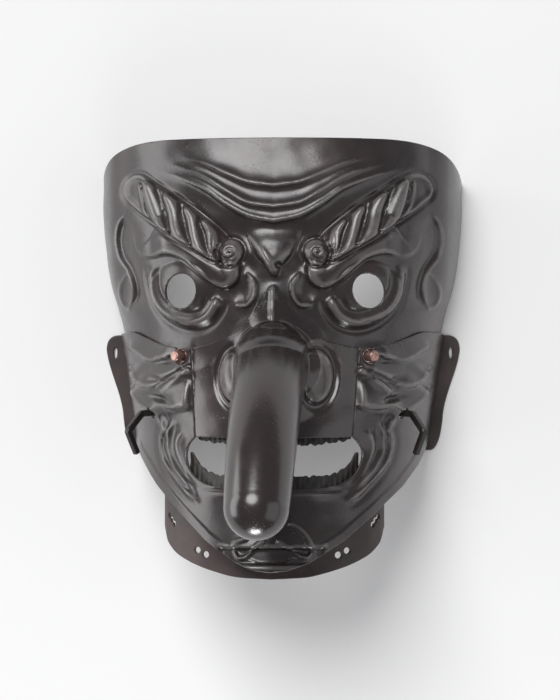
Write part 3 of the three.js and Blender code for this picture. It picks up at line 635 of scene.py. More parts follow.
def blurred(values: Array, reach: int, wrap: bool = False) -> Array:
    """A grid of numbers or points averaged over a square, held at its edges."""
    out = np.asarray(values, float)
    for axis in (0, 1):
        pad = [(0, 0)] * out.ndim
        pad[axis] = (reach + 1, reach)
        padded = np.pad(out, pad, mode="wrap" if wrap and axis == 1 else "edge")
        total = np.cumsum(padded, axis=axis)
        size = out.shape[axis]
        high = np.take(total, range(2 * reach + 1, 2 * reach + 1 + size), axis=axis)
        out = (high - np.take(total, range(size), axis=axis)) / (2 * reach + 1)
    return out


@dataclass
class SheetGrid:
    """A sheet as two grids of points with a field that is positive where there is metal.

    Columns run to the right and rows upwards as seen from outside. worn is 1 on crests and -1 in grooves.
    """

    front: Array
    back: Array
    metal: Array
    worn: Array
    wrap: bool = False
    edge: float = EDGE
    EDGE_STEPS = 3

    def cells(self) -> Array:
        """The four corners of each cell, counterclockwise."""
        rows, cols = self.metal.shape
        ids = np.arange(rows * cols).reshape(rows, cols)
        right = np.roll(ids, -1, axis=1)
        width = cols if self.wrap else cols - 1
        corners = (ids[:-1], right[:-1], right[1:], ids[1:])
        return np.stack([c[:, :width] for c in corners], axis=-1).reshape(-1, 4)

    def mesh(self, name: str) -> bpy.types.Mesh:
        """Clips the grids to the metal, closes them with a rounded edge and makes a mesh.

        Args:
            name: the mesh's name.

        Returns:
            The mesh, in metres, with its "worn" attribute.
        """
        level = (self.metal - self.edge).ravel()
        fronts, backs = list(self.front.reshape(-1, 3)), list(self.back.reshape(-1, 3))
        worn = list(self.worn.ravel())
        cells = self.cells()
        kept = level[cells] > 0
        faces = [tuple(c) for c in cells[kept.all(axis=1)]]
        cuts: dict[tuple[int, int], int] = {}
        rim: list[tuple[int, int]] = []

        def cut(a: int, b: int) -> int:
            """The new point where the line from a to b leaves the metal."""
            key = (min(a, b), max(a, b))
            if key not in cuts:
                t = level[key[0]] / (level[key[0]] - level[key[1]])
                cuts[key] = len(fronts)
                for run in (fronts, backs, worn):
                    run.append(run[key[0]] * (1 - t) + run[key[1]] * t)
            return cuts[key]

        for cell in cells[kept.any(axis=1) & ~kept.all(axis=1)]:
            ring, crossings = [], []
            for a, b in zip(cell, np.roll(cell, -1)):
                if level[a] > 0:
                    ring.append(int(a))
                if (level[a] > 0) != (level[b] > 0):
                    ring.append(cut(int(a), int(b)))
                    crossings.append((ring[-1], level[a] > 0))
            faces.append(tuple(ring))
            for k, (point, leaving) in enumerate(crossings):
                if leaving:
                    rim.append((point, crossings[(k + 1) % len(crossings)][0]))
        return self.closed(name, np.array(fronts), np.array(backs), np.array(worn), faces, rim)

    def closed(
        self,
        name: str,
        fronts: Array,
        backs: Array,
        worn: Array,
        faces: list[tuple[int, ...]],
        rim: list[tuple[int, int]],
    ) -> bpy.types.Mesh:
        """Joins the front and back faces along the rim.

        Args:
            name: the mesh's name.
            fronts: points of the front.
            backs: the point behind each of them.
            worn: the wear of each of them.
            faces: rings of indices, counterclockwise from outside.
            rim: stretches of the rim in the same turn.

        Returns:
            The finished mesh.
        """
        count = len(fronts)
        depth = fronts - backs
        thickness = np.linalg.norm(depth, axis=1, keepdims=True)
        outward = depth / np.maximum(thickness, 1e-6)
        away = np.zeros_like(fronts)
        for a, b in rim:
            direction = np.cross(fronts[b] - fronts[a], outward[a])
            away[a] += direction
            away[b] += direction
        away /= np.maximum(np.linalg.norm(away, axis=1, keepdims=True), 1e-9)
        on_rim = sorted({p for stretch in rim for p in stretch})
        order = {p: k for k, p in enumerate(on_rim)}
        rows = [{p: p for p in on_rim}]
        points, tone = [fronts, backs], [worn, np.full(count, -0.3)]
        for step in range(1, self.EDGE_STEPS + 1):
            angle = math.pi * step / (self.EDGE_STEPS + 1)
            middle = (fronts[on_rim] + backs[on_rim]) / 2
            lift = outward[on_rim] * thickness[on_rim] / 2 * math.cos(angle)
            points.append(middle + lift + away[on_rim] * self.edge * math.sin(angle))
            # Rounded edges get a high wear value, so the finishes paint every edge lighter: partly wear from rubbing,
            # partly painted highlight.
            tone.append(np.full(len(on_rim), 0.8))
            start = 2 * count + (step - 1) * len(on_rim)
            rows.append({p: start + order[p] for p in on_rim})
        rows.append({p: p + count for p in on_rim})
        every = list(faces) + [tuple(i + count for i in reversed(f)) for f in faces]
        for upper, lower in zip(rows[:-1], rows[1:]):
            every += [(upper[b], upper[a], lower[a], lower[b]) for a, b in rim]
        return mesh_from(name, np.vstack(points), every, np.concatenate(tone))


def mesh_from(name: str, points: Array, faces: Iterable[Sequence[int]], worn: Optional[Array] = None) -> bpy.types.Mesh:
    """A smooth-shaded mesh from points in millimetres, without unused or doubled points.

    Args:
        name: the mesh's name.
        points: places in millimetres.
        faces: rings of indices.
        worn: the wear of each point, or None for no wear.

    Returns:
        The mesh, in metres.
    """
    faces = [tuple(int(i) for i in f) for f in faces]
    used = np.unique(np.fromiter((i for f in faces for i in f), int))
    new_index = np.full(len(points), -1)
    new_index[used] = np.arange(len(used))
    mesh = bpy.data.meshes.new(name)
    mesh.from_pydata((points[used] * MM).tolist(), [], [[int(new_index[i]) for i in f] for f in faces])
    values = np.zeros(len(points)) if worn is None else worn
    mesh.attributes.new("worn", "FLOAT", "POINT").data.foreach_set("value", values[used].astype(np.float32))
    cleaner = bmesh.new()
    cleaner.from_mesh(mesh)
    bmesh.ops.remove_doubles(cleaner, verts=cleaner.verts, dist=1e-6)
    bmesh.ops.recalc_face_normals(cleaner, faces=cleaner.faces)
    cleaner.to_mesh(mesh)
    cleaner.free()
    mesh.shade_smooth()
    return mesh


def piece_from(mesh: bpy.types.Mesh, material: bpy.types.Material, nodes: Sequence[str]) -> bpy.types.Object:
    """Puts a mesh into the scene as a piece of the face guard.

    Args:
        mesh: its shape.
        material: its finish.
        nodes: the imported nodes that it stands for.

    Returns:
        The piece.
    """
    piece = bpy.data.objects.new(mesh.name, mesh)
    bpy.context.scene.collection.objects.link(piece)
    mesh.materials.append(material)
    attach(piece, BODY)
    if nodes:
        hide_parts(*nodes)
    triangles = sum(len(p.vertices) - 2 for p in mesh.polygons)
    LOG.info("%s: %d triangles", piece.name, triangles)
    return piece


# ---- Shaders ----


class Value:
    """A number socket that arithmetic works on."""

    def __init__(self, shader: "Shader", socket: bpy.types.NodeSocket) -> None:
        """Keeps the socket and the shader that it belongs to."""
        self.shader, self.socket = shader, socket

    def math(self, operation: str, *others: Number) -> "Value":
        """The result of a Math node that starts with this value."""
        return self.shader.math(operation, self, *others)

    def __add__(self, other: Number) -> "Value":
        """self + other."""
        return self.math("ADD", other)

    __radd__ = __add__

    def __mul__(self, other: Number) -> "Value":
        """self * other."""
        return self.math("MULTIPLY", other)

    __rmul__ = __mul__

    def __sub__(self, other: Number) -> "Value":
        """self - other."""
        return self.math("SUBTRACT", other)

    def __rsub__(self, other: Number) -> "Value":
        """other - self."""
        return self.shader.math("SUBTRACT", other, self)

    def __truediv__(self, other: Number) -> "Value":
        """self / other."""
        return self.math("DIVIDE", other)

    def __pow__(self, other: Number) -> "Value":
        """self ** other."""
        return self.math("POWER", other)

    def between(self, low: float, high: float) -> "Value":
        """A soft step from 0 at low to 1 at high, or falling where high is the lower."""
        if low > high:
            return 1 - self.between(high, low)
        settings = {"interpolation_type": "SMOOTHSTEP"}
        links = {"Value": self, "From Min": low, "From Max": high}
        return self.shader.value("ShaderNodeMapRange", settings, links)

    def floor_at(self, low: float) -> "Value":
        """This value, but never under low."""
        return self.math("MAXIMUM", low)


class Shader:
    """A material and the nodes that its finish is worked out with."""

    def __init__(self, name: str) -> None:
        """Makes the material with a bare Principled surface."""
        self.material = bpy.data.materials.new(name)
        self.material.use_nodes = True
        self.tree = self.material.node_tree
        self.tree.nodes.clear()
        self.surface = self.node("ShaderNodeBsdfPrincipled", {}, {})
        self.node("ShaderNodeOutputMaterial", {}, {"Surface": self.surface.outputs[0]})
        self.where = self.node("ShaderNodeTexCoord", {}, {}).outputs["Object"]

    def node(self, kind: str, settings: dict, links: dict) -> bpy.types.Node:
        """Adds a node.

        Args:
            kind: its type.
            settings: properties that are set before its sockets are filled.
            links: a number, colour, Value or socket for each input, by name or index.

        Returns:
            The node.
        """
        made = self.tree.nodes.new(kind)
        for key, value in settings.items():
            setattr(made, key, value)
        for key, value in links.items():
            target = made.inputs[key]
            if isinstance(value, Value):
                value = value.socket
            if isinstance(value, bpy.types.NodeSocket):
                self.tree.links.new(value, target)
            else:
                target.default_value = value
        return made

    def value(self, kind: str, settings: dict, links: dict, output: Union[int, str] = 0) -> Value:
        """A node's output as a Value."""
        return Value(self, self.node(kind, settings, links).outputs[output])

    def math(self, operation: str, *terms: Number) -> Value:
        """A Math node over values and numbers."""
        return self.value("ShaderNodeMath", {"operation": operation}, dict(enumerate(terms)))

    def stretched(self, scale: Sequence[float], turn: float = 0.0) -> bpy.types.NodeSocket:
        """The place on the object, scaled by axis after a turn about Z."""
        links = {"Vector": self.where, "Scale": scale, "Rotation": (0, 0, turn)}
        return self.node("ShaderNodeMapping", {}, links).outputs[0]

    def noise(self, scale: float, detail: float = 3.0, rough: float = 0.55, at: Optional[bpy.types.NodeSocket] = None) -> Value:
        """Cloudy noise from 0 to 1 with about scale clouds to the metre."""
        links = {"Vector": at or self.where, "Scale": scale, "Detail": detail, "Roughness": rough}
        return self.value("ShaderNodeTexNoise", {}, links, "Fac")

    def cells(self, scale: float, feature: str = "F1") -> Value:
        """Distance to the nearest of scattered points."""
        links = {"Vector": self.where, "Scale": scale}
        return self.value("ShaderNodeTexVoronoi", {"feature": feature}, links, "Distance")

    def worn(self) -> Value:
        """How worn or sunken the surface is, from the mesh."""
        return self.value("ShaderNodeAttribute", {"attribute_name": "worn"}, {}, "Fac")

    def mix(self, factor: Number, low: Union[tuple, bpy.types.NodeSocket], high: Union[tuple, bpy.types.NodeSocket]) -> bpy.types.NodeSocket:
        """A colour between two colours."""
        node = self.node("ShaderNodeMix", {"data_type": "RGBA"}, {0: factor, 6: opaque(low), 7: opaque(high)})
        return node.outputs[2]

    def bump(self, height: Value, distance: float, strength: float = 1.0, after: Optional[bpy.types.NodeSocket] = None) -> bpy.types.NodeSocket:
        """A normal bent by a height from 0 to 1 that stands for a distance in metres."""
        links = {"Height": height, "Distance": distance, "Strength": strength}
        if after is not None:
            links["Normal"] = after
        return self.node("ShaderNodeBump", {}, links).outputs[0]

    def finish(self, linked: dict, constants: dict) -> bpy.types.Material:
        """Sets the Principled surface.

        Args:
            linked: values or sockets by input name.
            constants: plain numbers by input name.

        Returns:
            The material.
        """
        for key, value in linked.items():
            self.tree.links.new(value.socket if isinstance(value, Value) else value, self.surface.inputs[key])
        for key, value in constants.items():
            self.surface.inputs[key].default_value = value
        return self.material


def opaque(colour: Union[tuple, bpy.types.NodeSocket]) -> Union[tuple, bpy.types.NodeSocket]:
    """An RGB colour with its alpha, or a socket as it is."""
    return (*colour, 1.0) if isinstance(colour, tuple) and len(colour) == 3 else colour


@dataclass(frozen=True)
class LacqueredIron:
    """Dark iron under old lacquer: satin, with hammer marks and pits, and crests and edges painted lighter, partly wear
    from rubbing and partly painted highlight.
    """

    name: str = "lacquered_iron"
    ground: tuple = (0.022, 0.0165, 0.0165)
    warm: tuple = (0.041, 0.028, 0.0265)
    # Light grey for crests and edges: partly wear from rubbing, partly a painted highlight.
    rubbed_and_sheen: tuple = (0.15, 0.137, 0.133)
    dust: tuple = (0.042, 0.035, 0.032)
    roughness: float = 0.3
    rough_spread: float = 0.16
    hammer: float = 0.0001
    pits: float = 0.00012
    metallic: float = 0.1

    def material(self) -> bpy.types.Material:
        """Builds the finish."""
        s = Shader(self.name)
        worn = s.worn()
        clouds = s.noise(22, 3, 0.6)
        grain = s.noise(520, 4, 0.65)
        mottle = s.noise(170, 5, 0.7)
        # Crests and rounded edges are painted lighter: partly wear from rubbing, partly painted highlight for the sheen
        # on them.
        rub_and_sheen = (worn * 0.8 + (mottle - 0.5) * 0.7).between(0.22, 0.95)
        colour = s.mix(clouds.between(0.4, 0.72), self.ground, self.warm)
        colour = s.mix((0 - worn).between(0.25, 1.0) * 0.6 * grain.between(0.3, 0.7), colour, self.dust)
        colour = s.mix(rub_and_sheen * 0.75, colour, self.rubbed_and_sheen)
        pitted = s.cells(640).between(0.26, 0.1) * s.noise(60, 2).between(0.48, 0.66)
        rough = self.roughness + (mottle - 0.5) * self.rough_spread + (clouds - 0.5) * 0.14 + pitted * 0.2
        dents = s.noise(150, 2, 0.5) + 0.35 * s.noise(420, 3, 0.6)
        normal = s.bump(dents, self.hammer, 0.55)
        normal = s.bump(grain - 1.2 * pitted, self.pits, 0.4, normal)
        linked = {"Base Color": colour, "Roughness": rough.floor_at(0.12), "Normal": normal}
        return s.finish(linked, {"Metallic": self.metallic, "IOR": 1.62, "Coat Weight": 0.15, "Coat Roughness": 0.2})


@dataclass(frozen=True)
class RustyIron:
    """Plain iron with a thin, even skin of rust: matt and warm."""

    name: str
    ground: tuple
    bloom: tuple
    roughness: float
    grit: float

    def material(self) -> bpy.types.Material:
        """Builds the finish."""
        s = Shader(self.name)
        clouds, grain = s.noise(38, 4, 0.6), s.noise(700, 4, 0.7)
        colour = s.mix(clouds.between(0.36, 0.68), self.ground, self.bloom)
        colour = s.mix(grain.between(0.55, 0.75) * 0.35, colour, tuple(0.5 * c for c in self.ground))
        # Crests and rounded edges are painted lighter: partly wear from rubbing, partly painted highlight.
        colour = s.mix(s.worn().between(0.4, 0.9) * 0.4, colour, tuple(min(1.0, 2.0 * c) for c in self.bloom))
        rough = self.roughness + (clouds - 0.5) * 0.2 + (grain - 0.5) * 0.12
        normal = s.bump(s.noise(190, 3, 0.6) + 0.5 * grain, self.grit, 0.5)
        return s.finish({"Base Color": colour, "Roughness": rough, "Normal": normal}, {"Metallic": 0.12, "IOR": 1.5})


@dataclass(frozen=True)
class OldCopper:
    """Copper gone brown, brighter where it is handled."""

    name: str = "old_copper"
    ground: tuple = (0.40, 0.245, 0.21)
    tarnish: tuple = (0.16, 0.095, 0.086)

    def material(self) -> bpy.types.Material:
        """Builds the finish."""
        s = Shader(self.name)
        blotches, grain = s.noise(330, 4, 0.65), s.noise(1500, 3, 0.6)
        shade = (blotches + s.worn() * 0.3).between(0.36, 0.66)
        colour = s.mix(shade, self.tarnish, self.ground)
        rough = 0.5 - 0.14 * shade + (grain - 0.5) * 0.2
        normal = s.bump(blotches + 0.4 * grain, 0.00012, 0.6)
        return s.finish({"Base Color": colour, "Roughness": rough, "Normal": normal}, {"Metallic": 0.72, "IOR": 1.5})


# ---- Plates ----


@dataclass
class Plate:
    """What every plate raised from the face surface shares."""

    face: Face
    relief: Relief
    finish: bpy.types.Material
    step: float = 0.7
    side_step: float = 1.3
    front_half: float = 84.0

    SEAM = (
        (0, 35), (2.6, 34.4), (6.6, 31), (9.8, 25), (13.5, 19.4), (17.5, 14.6), (24, 10.4), (34, 7),
        (46, 5), (58, 6.5), (68, 10), (78, 13.2), (104, 11),
    )
    NOSE_HALF_TOP = 42.6
    NOSE_HALF_BOTTOM = 39.8
    MOUTH_TOP = -40.0

    def seam(self, drop: float) -> Array:
        """The right half of the seam between the brow plate and those over it, moved down."""
        height = through(self.SEAM)
        xs = np.concatenate([np.linspace(0, 84, 57), [94, 104]])
        return np.c_[xs, height(xs) - drop]

    def nose_outline(self, grow: float) -> Outline:
        """The straight-sided outline of the nose plate, grown on all sides."""
        low = self.MOUTH_TOP - grow
        half = [(self.NOSE_HALF_TOP + grow, 60), (self.NOSE_HALF_TOP + grow, 2), (self.NOSE_HALF_BOTTOM + grow, low)]
        return Outline(mirrored(half))

    def axis_distance(self, points: Array, x: float, y: float) -> Array:
        """Distance from the line that stands on the face at a place."""
        foot, out = self.face.place(x, y)
        rel = points - foot
        return np.linalg.norm(rel - (rel @ out)[..., None] * out, axis=-1)

    def grid(self, low: float, high: float, setback: float, metal: Callable[[Array], Array]) -> SheetGrid:
        """A band of the face as a sheet.

        Args:
            low: the band's lowest height.
            high: its highest.
            setback: how far the sheet's front lies behind the face surface.
            metal: a field over the points that is positive where there is metal.

        Returns:
            The sheet.
        """
        turns = self.face.columns(self.step, self.side_step, self.front_half)[None, :]
        heights = np.arange(low, high, self.step)[:, None]
        base, out = self.face.point(turns, heights), self.face.normal(turns, heights)
        lift = self.relief.height(base[..., 0], base[..., 1])
        soft = blurred(lift, 2)
        worn = np.clip((lift - blurred(lift, 4)) / 0.55, -1, 1)
        behind = np.minimum(soft, lift) - setback - SHEET
        front = base + out * (lift - setback)[..., None]
        return SheetGrid(front, base + out * behind[..., None], metal(front), worn)


@dataclass
class BrowPlate(Plate):
    """The upper plate, with the forehead, the brows and the eyes."""

    step: float = 0.74
    eye_radii: tuple = (7.9, 8.8)
    eye_tilt: float = 0.35
    pin: tuple = (47.6, 1.0)
    pin_hole: float = 3.05

    def outline(self) -> Outline:
        """From the seam up the side and round the upper corner."""
        t = np.linspace(0, 1, 24)[:, None]
        corners = np.array([(99, 78), (98.5, 104), (88, 111.6), (56, TOP_Y)], float)
        weights = ((1 - t) ** 3, 3 * t * (1 - t) ** 2, 3 * t * t * (1 - t), t**3)
        corner = sum(w * c for w, c in zip(weights, corners))
        return Outline(mirrored(np.vstack([self.seam(TONGUE), corner])))

    def metal(self, base: Array) -> Array:
        """Positive on the plate and negative in its eyes, its pin holes and past its edges."""
        x, y, z = base[..., 0], base[..., 1], base[..., 2]
        floor = np.where(y < FLANGE_TOP + GAP, z - SHEET - GAP, z)
        field_ = np.minimum(self.outline().inside(x, y), floor)
        for side in Side:
            eye = ellipse(side.value * self.relief.EYE[0], self.relief.EYE[1], *self.eye_radii, side.value * self.eye_tilt)
            field_ = np.minimum(field_, -eye.inside(x, y))
            pin = self.axis_distance(base, side.value * self.pin[0], self.pin[1])
            field_ = np.minimum(field_, pin - self.pin_hole)
        return field_

    def build(self) -> None:
        """Makes the plate."""
        sheet = self.grid(-3, TOP_Y + 2, BROW_SETBACK, self.metal)
        piece_from(sheet.mesh("brow"), self.finish, ["brow_plate"])


@dataclass
class JawPlate(Plate):
    """The lower plate, with the cheeks, the mouth and the chin."""

    pin: tuple = (47.6, 1.0)
    pin_hole: float = 4.0
    hook: tuple = (64.0, -28.5)
    hook_hole: float = 2.8
    MOUTH = ((0, -65.5), (18, -65.3), (29, -64.3), (36, -62.2), (41.8, -57.8), (44.8, -50.4), (43.6, -44.2), (38.6, -38.6))

    def outline(self) -> Outline:
        """From the seam down the rim and round the chin."""
        left = np.vstack([self.seam(0), self.relief.JAW_EDGE_LEFT])
        right = np.vstack([self.seam(0), self.relief.JAW_EDGE]) * [-1, 1]
        return Outline(np.vstack([left, right[::-1]]))

    def mouth(self) -> Outline:
        """The rounded mouth."""
        half = spline(self.MOUTH, 48)
        return Outline(np.vstack([half[1:], (half[1:] * [-1, 1])[::-1]]))

    def metal(self, base: Array) -> Array:
        """Positive on the plate and negative in its openings and past its edges."""
        x, y, z = base[..., 0], base[..., 1], base[..., 2]
        field_ = np.minimum(self.outline().inside(x, y), z - SHEET - 2 * GAP)
        field_ = np.minimum(field_, -self.nose_outline(GAP).inside(x, y))
        field_ = np.minimum(field_, -self.mouth().inside(x, y))
        for side in Side:
            pin = self.axis_distance(base, side.value * self.pin[0], self.pin[1])
            hook = self.axis_distance(base, side.value * self.hook[0], self.hook[1])
            field_ = np.minimum(field_, np.minimum(pin - self.pin_hole, hook - self.hook_hole))
        return field_

    def build(self) -> None:
        """Makes the plate."""
        sheet = self.grid(-107.5, 15.5, 0.0, self.metal)
        piece_from(sheet.mesh("jaw"), self.finish, ["jaw_plate"])


@dataclass
class NosePlate(Plate):
    """The middle plate, which runs out into the long hollow nose in one smooth skin."""

    centre: tuple = (-0.2, -4.0)
    sides: int = 300
    wall: float = 1.8
    reach: float = 62.0
    foot: float = 22.3
    ROWS = (
        # x, y, z, radius
        (0, 0, 80, 20),
        (-0.6, -9, 108, 18.2),
        (-1.3, -26, 135, 17.3),
        (-2.2, -47, 156, 16.7),
        (-3.2, -70, 171, 15.6),
    )

    def tube(self, t: Array, angle: Array) -> tuple[Array, Array]:
        """Points of the nose and directions out of it.

        Args:
            t: place along the middle line, 0 at the root and 1 where the tip's dome starts.
            angle: place around it, 0 towards +X and a quarter turn towards the forehead.

        Returns:
            The points and the directions.
        """
        line = spline([row[:3] for row in self.ROWS], 200)
        radius = through([(i / (len(self.ROWS) - 1), row[3]) for i, row in enumerate(self.ROWS)])
        places = np.linspace(0, 1, len(line))
        slopes = np.gradient(line, axis=0)
        centre = np.stack([np.interp(t, places, line[:, k]) for k in range(3)], axis=-1)
        along = np.stack([np.interp(t, places, slopes[:, k]) for k in range(3)], axis=-1)
        along /= np.linalg.norm(along, axis=-1, keepdims=True)
        up = np.cross(along, [1.0, 0, 0])
        up /= np.linalg.norm(up, axis=-1, keepdims=True)
        across = np.cross(up, along)
        out = np.cos(angle)[..., None] * across + np.sin(angle)[..., None] * up
        return centre + out * radius(t)[..., None], out

    def tip(self, angle: Array) -> Array:
        """Rings of the rounded tip, from the pole to the tube's end."""
        end, out = self.tube(np.ones_like(angle), angle)
        line = spline([row[:3] for row in self.ROWS], 200)
        forward = line[-1] - line[-2]
        forward /= np.linalg.norm(forward)
        radius = self.ROWS[-1][3]
        centre = np.array(self.ROWS[-1][:3], float)
        rings = []
        for tilt in np.linspace(math.pi / 2, 0, 22)[:-1]:
            rings.append(centre + forward * radius * math.sin(tilt) + out * radius * math.cos(tilt))
        return np.array(rings)

    def panel(self, radius: Array, angle: Array) -> tuple[Array, Array]:
        """Points of the plate around the nose, and their heights above the face surface."""
        x = self.centre[0] + radius * np.cos(angle)
        y = self.centre[1] + radius * np.sin(angle)
        turn = self.face.turn_at(x, y)
        lift = self.relief.height(x, y)
        return self.face.point(turn, y) + self.face.normal(turn, y) * lift[..., None], lift

    def rings(self) -> tuple[Array, Array]:
        """The whole skin as rings from the outline in to the tip, with its wear."""
        angle = np.linspace(0, 2 * math.pi, self.sides, endpoint=False)
        radii = np.linspace(self.reach, self.foot, int((self.reach - self.foot) / 0.75))[:, None]
        flat, lift = self.panel(np.broadcast_to(radii, (len(radii), self.sides)), angle[None, :])
        worn = np.clip((lift - blurred(lift, 4, True)) / 0.55, -1, 1)
        foot, before = flat[-1], flat[-2]
        stations = np.linspace(0, 1, 160)
        profile, _ = self.tube(stations[:, None] * np.ones(self.sides), angle[None, :])
        rise = 5.0
        start = np.array([np.interp(foot[k, 2] + rise, profile[:, k, 2], stations) for k in range(self.sides)])
        spread = np.linspace(0, 1, 64)[:, None] ** 1.5
        t = start + (1 - start) * spread
        walls, _ = self.tube(t, np.broadcast_to(angle, t.shape))
        fillet = self.fillet(foot, foot - before, walls[0], walls[1] - walls[0])
        skin = np.concatenate([flat, fillet, walls, self.tip(angle)[::-1]])
        rest = np.zeros((len(skin) - len(flat), self.sides))
        return skin, np.concatenate([worn, rest])

    def fillet(self, foot: Array, leave: Array, top: Array, arrive: Array) -> Array:
        """Rings that turn from the plate up into the nose."""
        span = np.linalg.norm(top - foot, axis=1, keepdims=True)
        first = leave / np.linalg.norm(leave, axis=1, keepdims=True) * span
        second = arrive / np.linalg.norm(arrive, axis=1, keepdims=True) * span
        out = []
        for u in np.linspace(0, 1, 11)[1:-1]:
            ends = (1 + 2 * u) * (1 - u) ** 2 * foot + u * u * (3 - 2 * u) * top
            out.append(ends + u * (1 - u) ** 2 * first - u * u * (1 - u) * second)
        return np.array(out)

    @staticmethod
    def outward(skin: Array) -> Array:
        """Directions out of the skin."""
        soft = blurred(skin, 1, True)
        across = np.roll(soft, -1, axis=1) - np.roll(soft, 1, axis=1)
        out = np.cross(across, np.gradient(soft, axis=0))
        return out / np.maximum(np.linalg.norm(out, axis=-1, keepdims=True), 1e-9)

    def build(self) -> None:
        """Makes the plate and its nose."""
        skin, worn = self.rings()
        out = self.outward(skin)
        x, y = skin[..., 0], skin[..., 1]
        raised = smooth(92, 97, skin[..., 2]) * smooth(150, 130, skin[..., 2]) * smooth(-0.1, 0.3, out[..., 1])
        skin = skin + out * (self.relief.folds_on_nose(x, y) * raised)[..., None]
        soft = blurred(skin, 1, True)
        out = self.outward(skin)
        seam = Outline(mirrored(np.vstack([self.seam(0), [(104, -120)]])))
        flat = np.minimum(self.nose_outline(0).inside(x, y), seam.inside(x, y))
        panel_rows = np.arange(len(skin)) < int((self.reach - self.foot) / 0.75)
        metal = np.where(panel_rows[:, None], flat, 10.0)
        sheet = SheetGrid(skin, soft - out * self.wall, metal, worn, wrap=True)
        piece_from(sheet.mesh("nose"), self.finish, ["nose_plate"])


@dataclass
class ThroatPlate:
    """The plate behind the chin, with its pierced collar."""

    face: Face
    finish: bpy.types.Material
    sheet: float = 1.8
    shift: float = -1.2
    tuck: float = 5.0
    columns: int = 300
    COLLAR = (
        # x, lower edge, depth
        (0, -112, 86),
        (16, -111.2, 85),
        (31, -108, 81),
        (47.5, -101.6, 71),
        (54.5, -95, 63),
        (57, -86, 58),
    )
    HOLES = (
        # x, y, rx, ry
        (38.2, -97.8, 1.5, 1.6),
        (33.8, -99.9, 1.6, 1.7),
        (53.8, -81.3, 0.6, 1.4),
        (52.4, -83.3, 0.7, 1.4),
        (51, -85.3, 0.7, 1.4),
    )

    def profile(self, side: float) -> Array:
        """The plate's line from behind the jaw back to the throat and down the collar."""
        low, depth = (float(through([(r[0], r[k]) for r in self.COLLAR])(side)) for k in (1, 2))
        edge = float(through(Relief.JAW_EDGE)(side))
        turn = self.face.turn_at(np.array(side), np.array(edge + self.tuck))
        inner = float(self.face.point(turn, edge + self.tuck)[2]) - 3 * SHEET
        points = [(edge + 5, inner), (edge + 4, (inner + depth) / 2), (edge + 3, depth + 3), (edge, depth), (low, depth)]
        line = spline(points, 60)
        run = np.concatenate([[0], np.cumsum(np.hypot(*np.diff(line, axis=0).T))])
        places = np.linspace(0, run[-1], 90)
        return np.c_[np.interp(places, run, line[:, 0]), np.interp(places, run, line[:, 1]), places]

    def build(self) -> None:
        """Makes the plate."""
        reach = self.COLLAR[-1][0]
        xs = reach * np.sin(np.linspace(-math.pi / 2, math.pi / 2, self.columns))
        rows = np.array([self.profile(abs(x)) for x in xs])[:, ::-1].transpose(1, 0, 2)
        x = np.broadcast_to(xs, rows.shape[:2])
        front = np.stack([x + self.shift, rows[..., 0], rows[..., 1]], axis=-1)
        out = np.cross(np.gradient(front, axis=1), np.gradient(front, axis=0))
        out /= np.linalg.norm(out, axis=-1, keepdims=True)
        run = rows[..., 2]
        metal = np.minimum(np.minimum(reach + 0.01 - np.abs(x), run), run.max(axis=0) + 0.01 - run)
        collar = run > run.max(axis=0) * 0.45
        for hx, hy, rx, ry in self.HOLES:
            hole = ellipse(hx, hy, rx, ry, 0.0, 20).inside(np.abs(x), rows[..., 0])
            metal = np.where(collar, np.minimum(metal, -hole), metal)
        sheet = SheetGrid(front, front - out * self.sheet, metal, np.zeros_like(x), edge=0.3)
        piece_from(sheet.mesh("throat"), self.finish, ["throat_plate"])


# ---- Small pieces ----


@dataclass
class Teeth:
    """The rows of rough iron teeth behind the lips."""

    face: Face
    finish: bpy.types.Material
    setback: float = SHEET + 2.0

    def row(self, name: str, node: str, reach: float, low: Callable, high: Callable) -> None:
        """Makes one row.

        Args:
            name: the piece's name.
            node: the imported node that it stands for.
            reach: half its width.
            low: its lower edge by distance across.
            high: its upper edge by distance across.
        """
        xs = np.linspace(-reach - 1, reach + 1, int(reach * 5))
        bottom, top = float(np.min(low(xs))) - 1, float(np.max(high(xs))) + 1
        ys = np.arange(bottom, top, 0.4)
        x, y = np.meshgrid(xs, ys)
        turn = self.face.turn_at(x, y)
        base, out = self.face.point(turn, y), self.face.normal(turn, y)
        uneven = 0.25 * np.sin(x * 0.9 + 1) * np.sin(y * 0.7) + 0.2 * np.sin(2.3 * x)
        front = base - out * (self.setback - uneven)[..., None]
        back = base - out * (self.setback + SHEET)
        metal = np.minimum(np.minimum(y - low(x), high(x) - y), reach - np.abs(x))
        piece_from(SheetGrid(front, back, metal, np.zeros_like(x), edge=0.3).mesh(name), self.finish, [node])

    @staticmethod
    def chipped(x: Array, width: float, depth: float, seed: float) -> Array:
        """An uneven row of scallops."""
        wave = np.abs(np.sin(math.pi * x / width + 0.5 * np.sin(0.35 * x + seed)))
        return depth * (wave**0.7 - 0.6) + 0.3 * np.sin(1.7 * x + seed)

    def build(self) -> None:
        """Makes both rows."""
        upper = through([(0, -43.6), (24, -42.8), (40, -41.2)])
        self.row("teeth_above", "upper_teeth", 41.5, lambda x: upper(np.abs(x)) - self.chipped(x, 7, 1.2, 0.4), lambda x: -34 + 0 * x)
        lower = through([(0, -58.6), (28, -58.2), (36, -56), (41, -52.4), (44.6, -47.5)])
        root = through([(0, -70), (30, -69), (41, -62), (46, -55)])
        self.row("teeth_below", "lower_teeth", 45.5, lambda x: root(np.abs(x)), lambda x: lower(np.abs(x)) + self.chipped(x, 5, 0.8, 2.0))


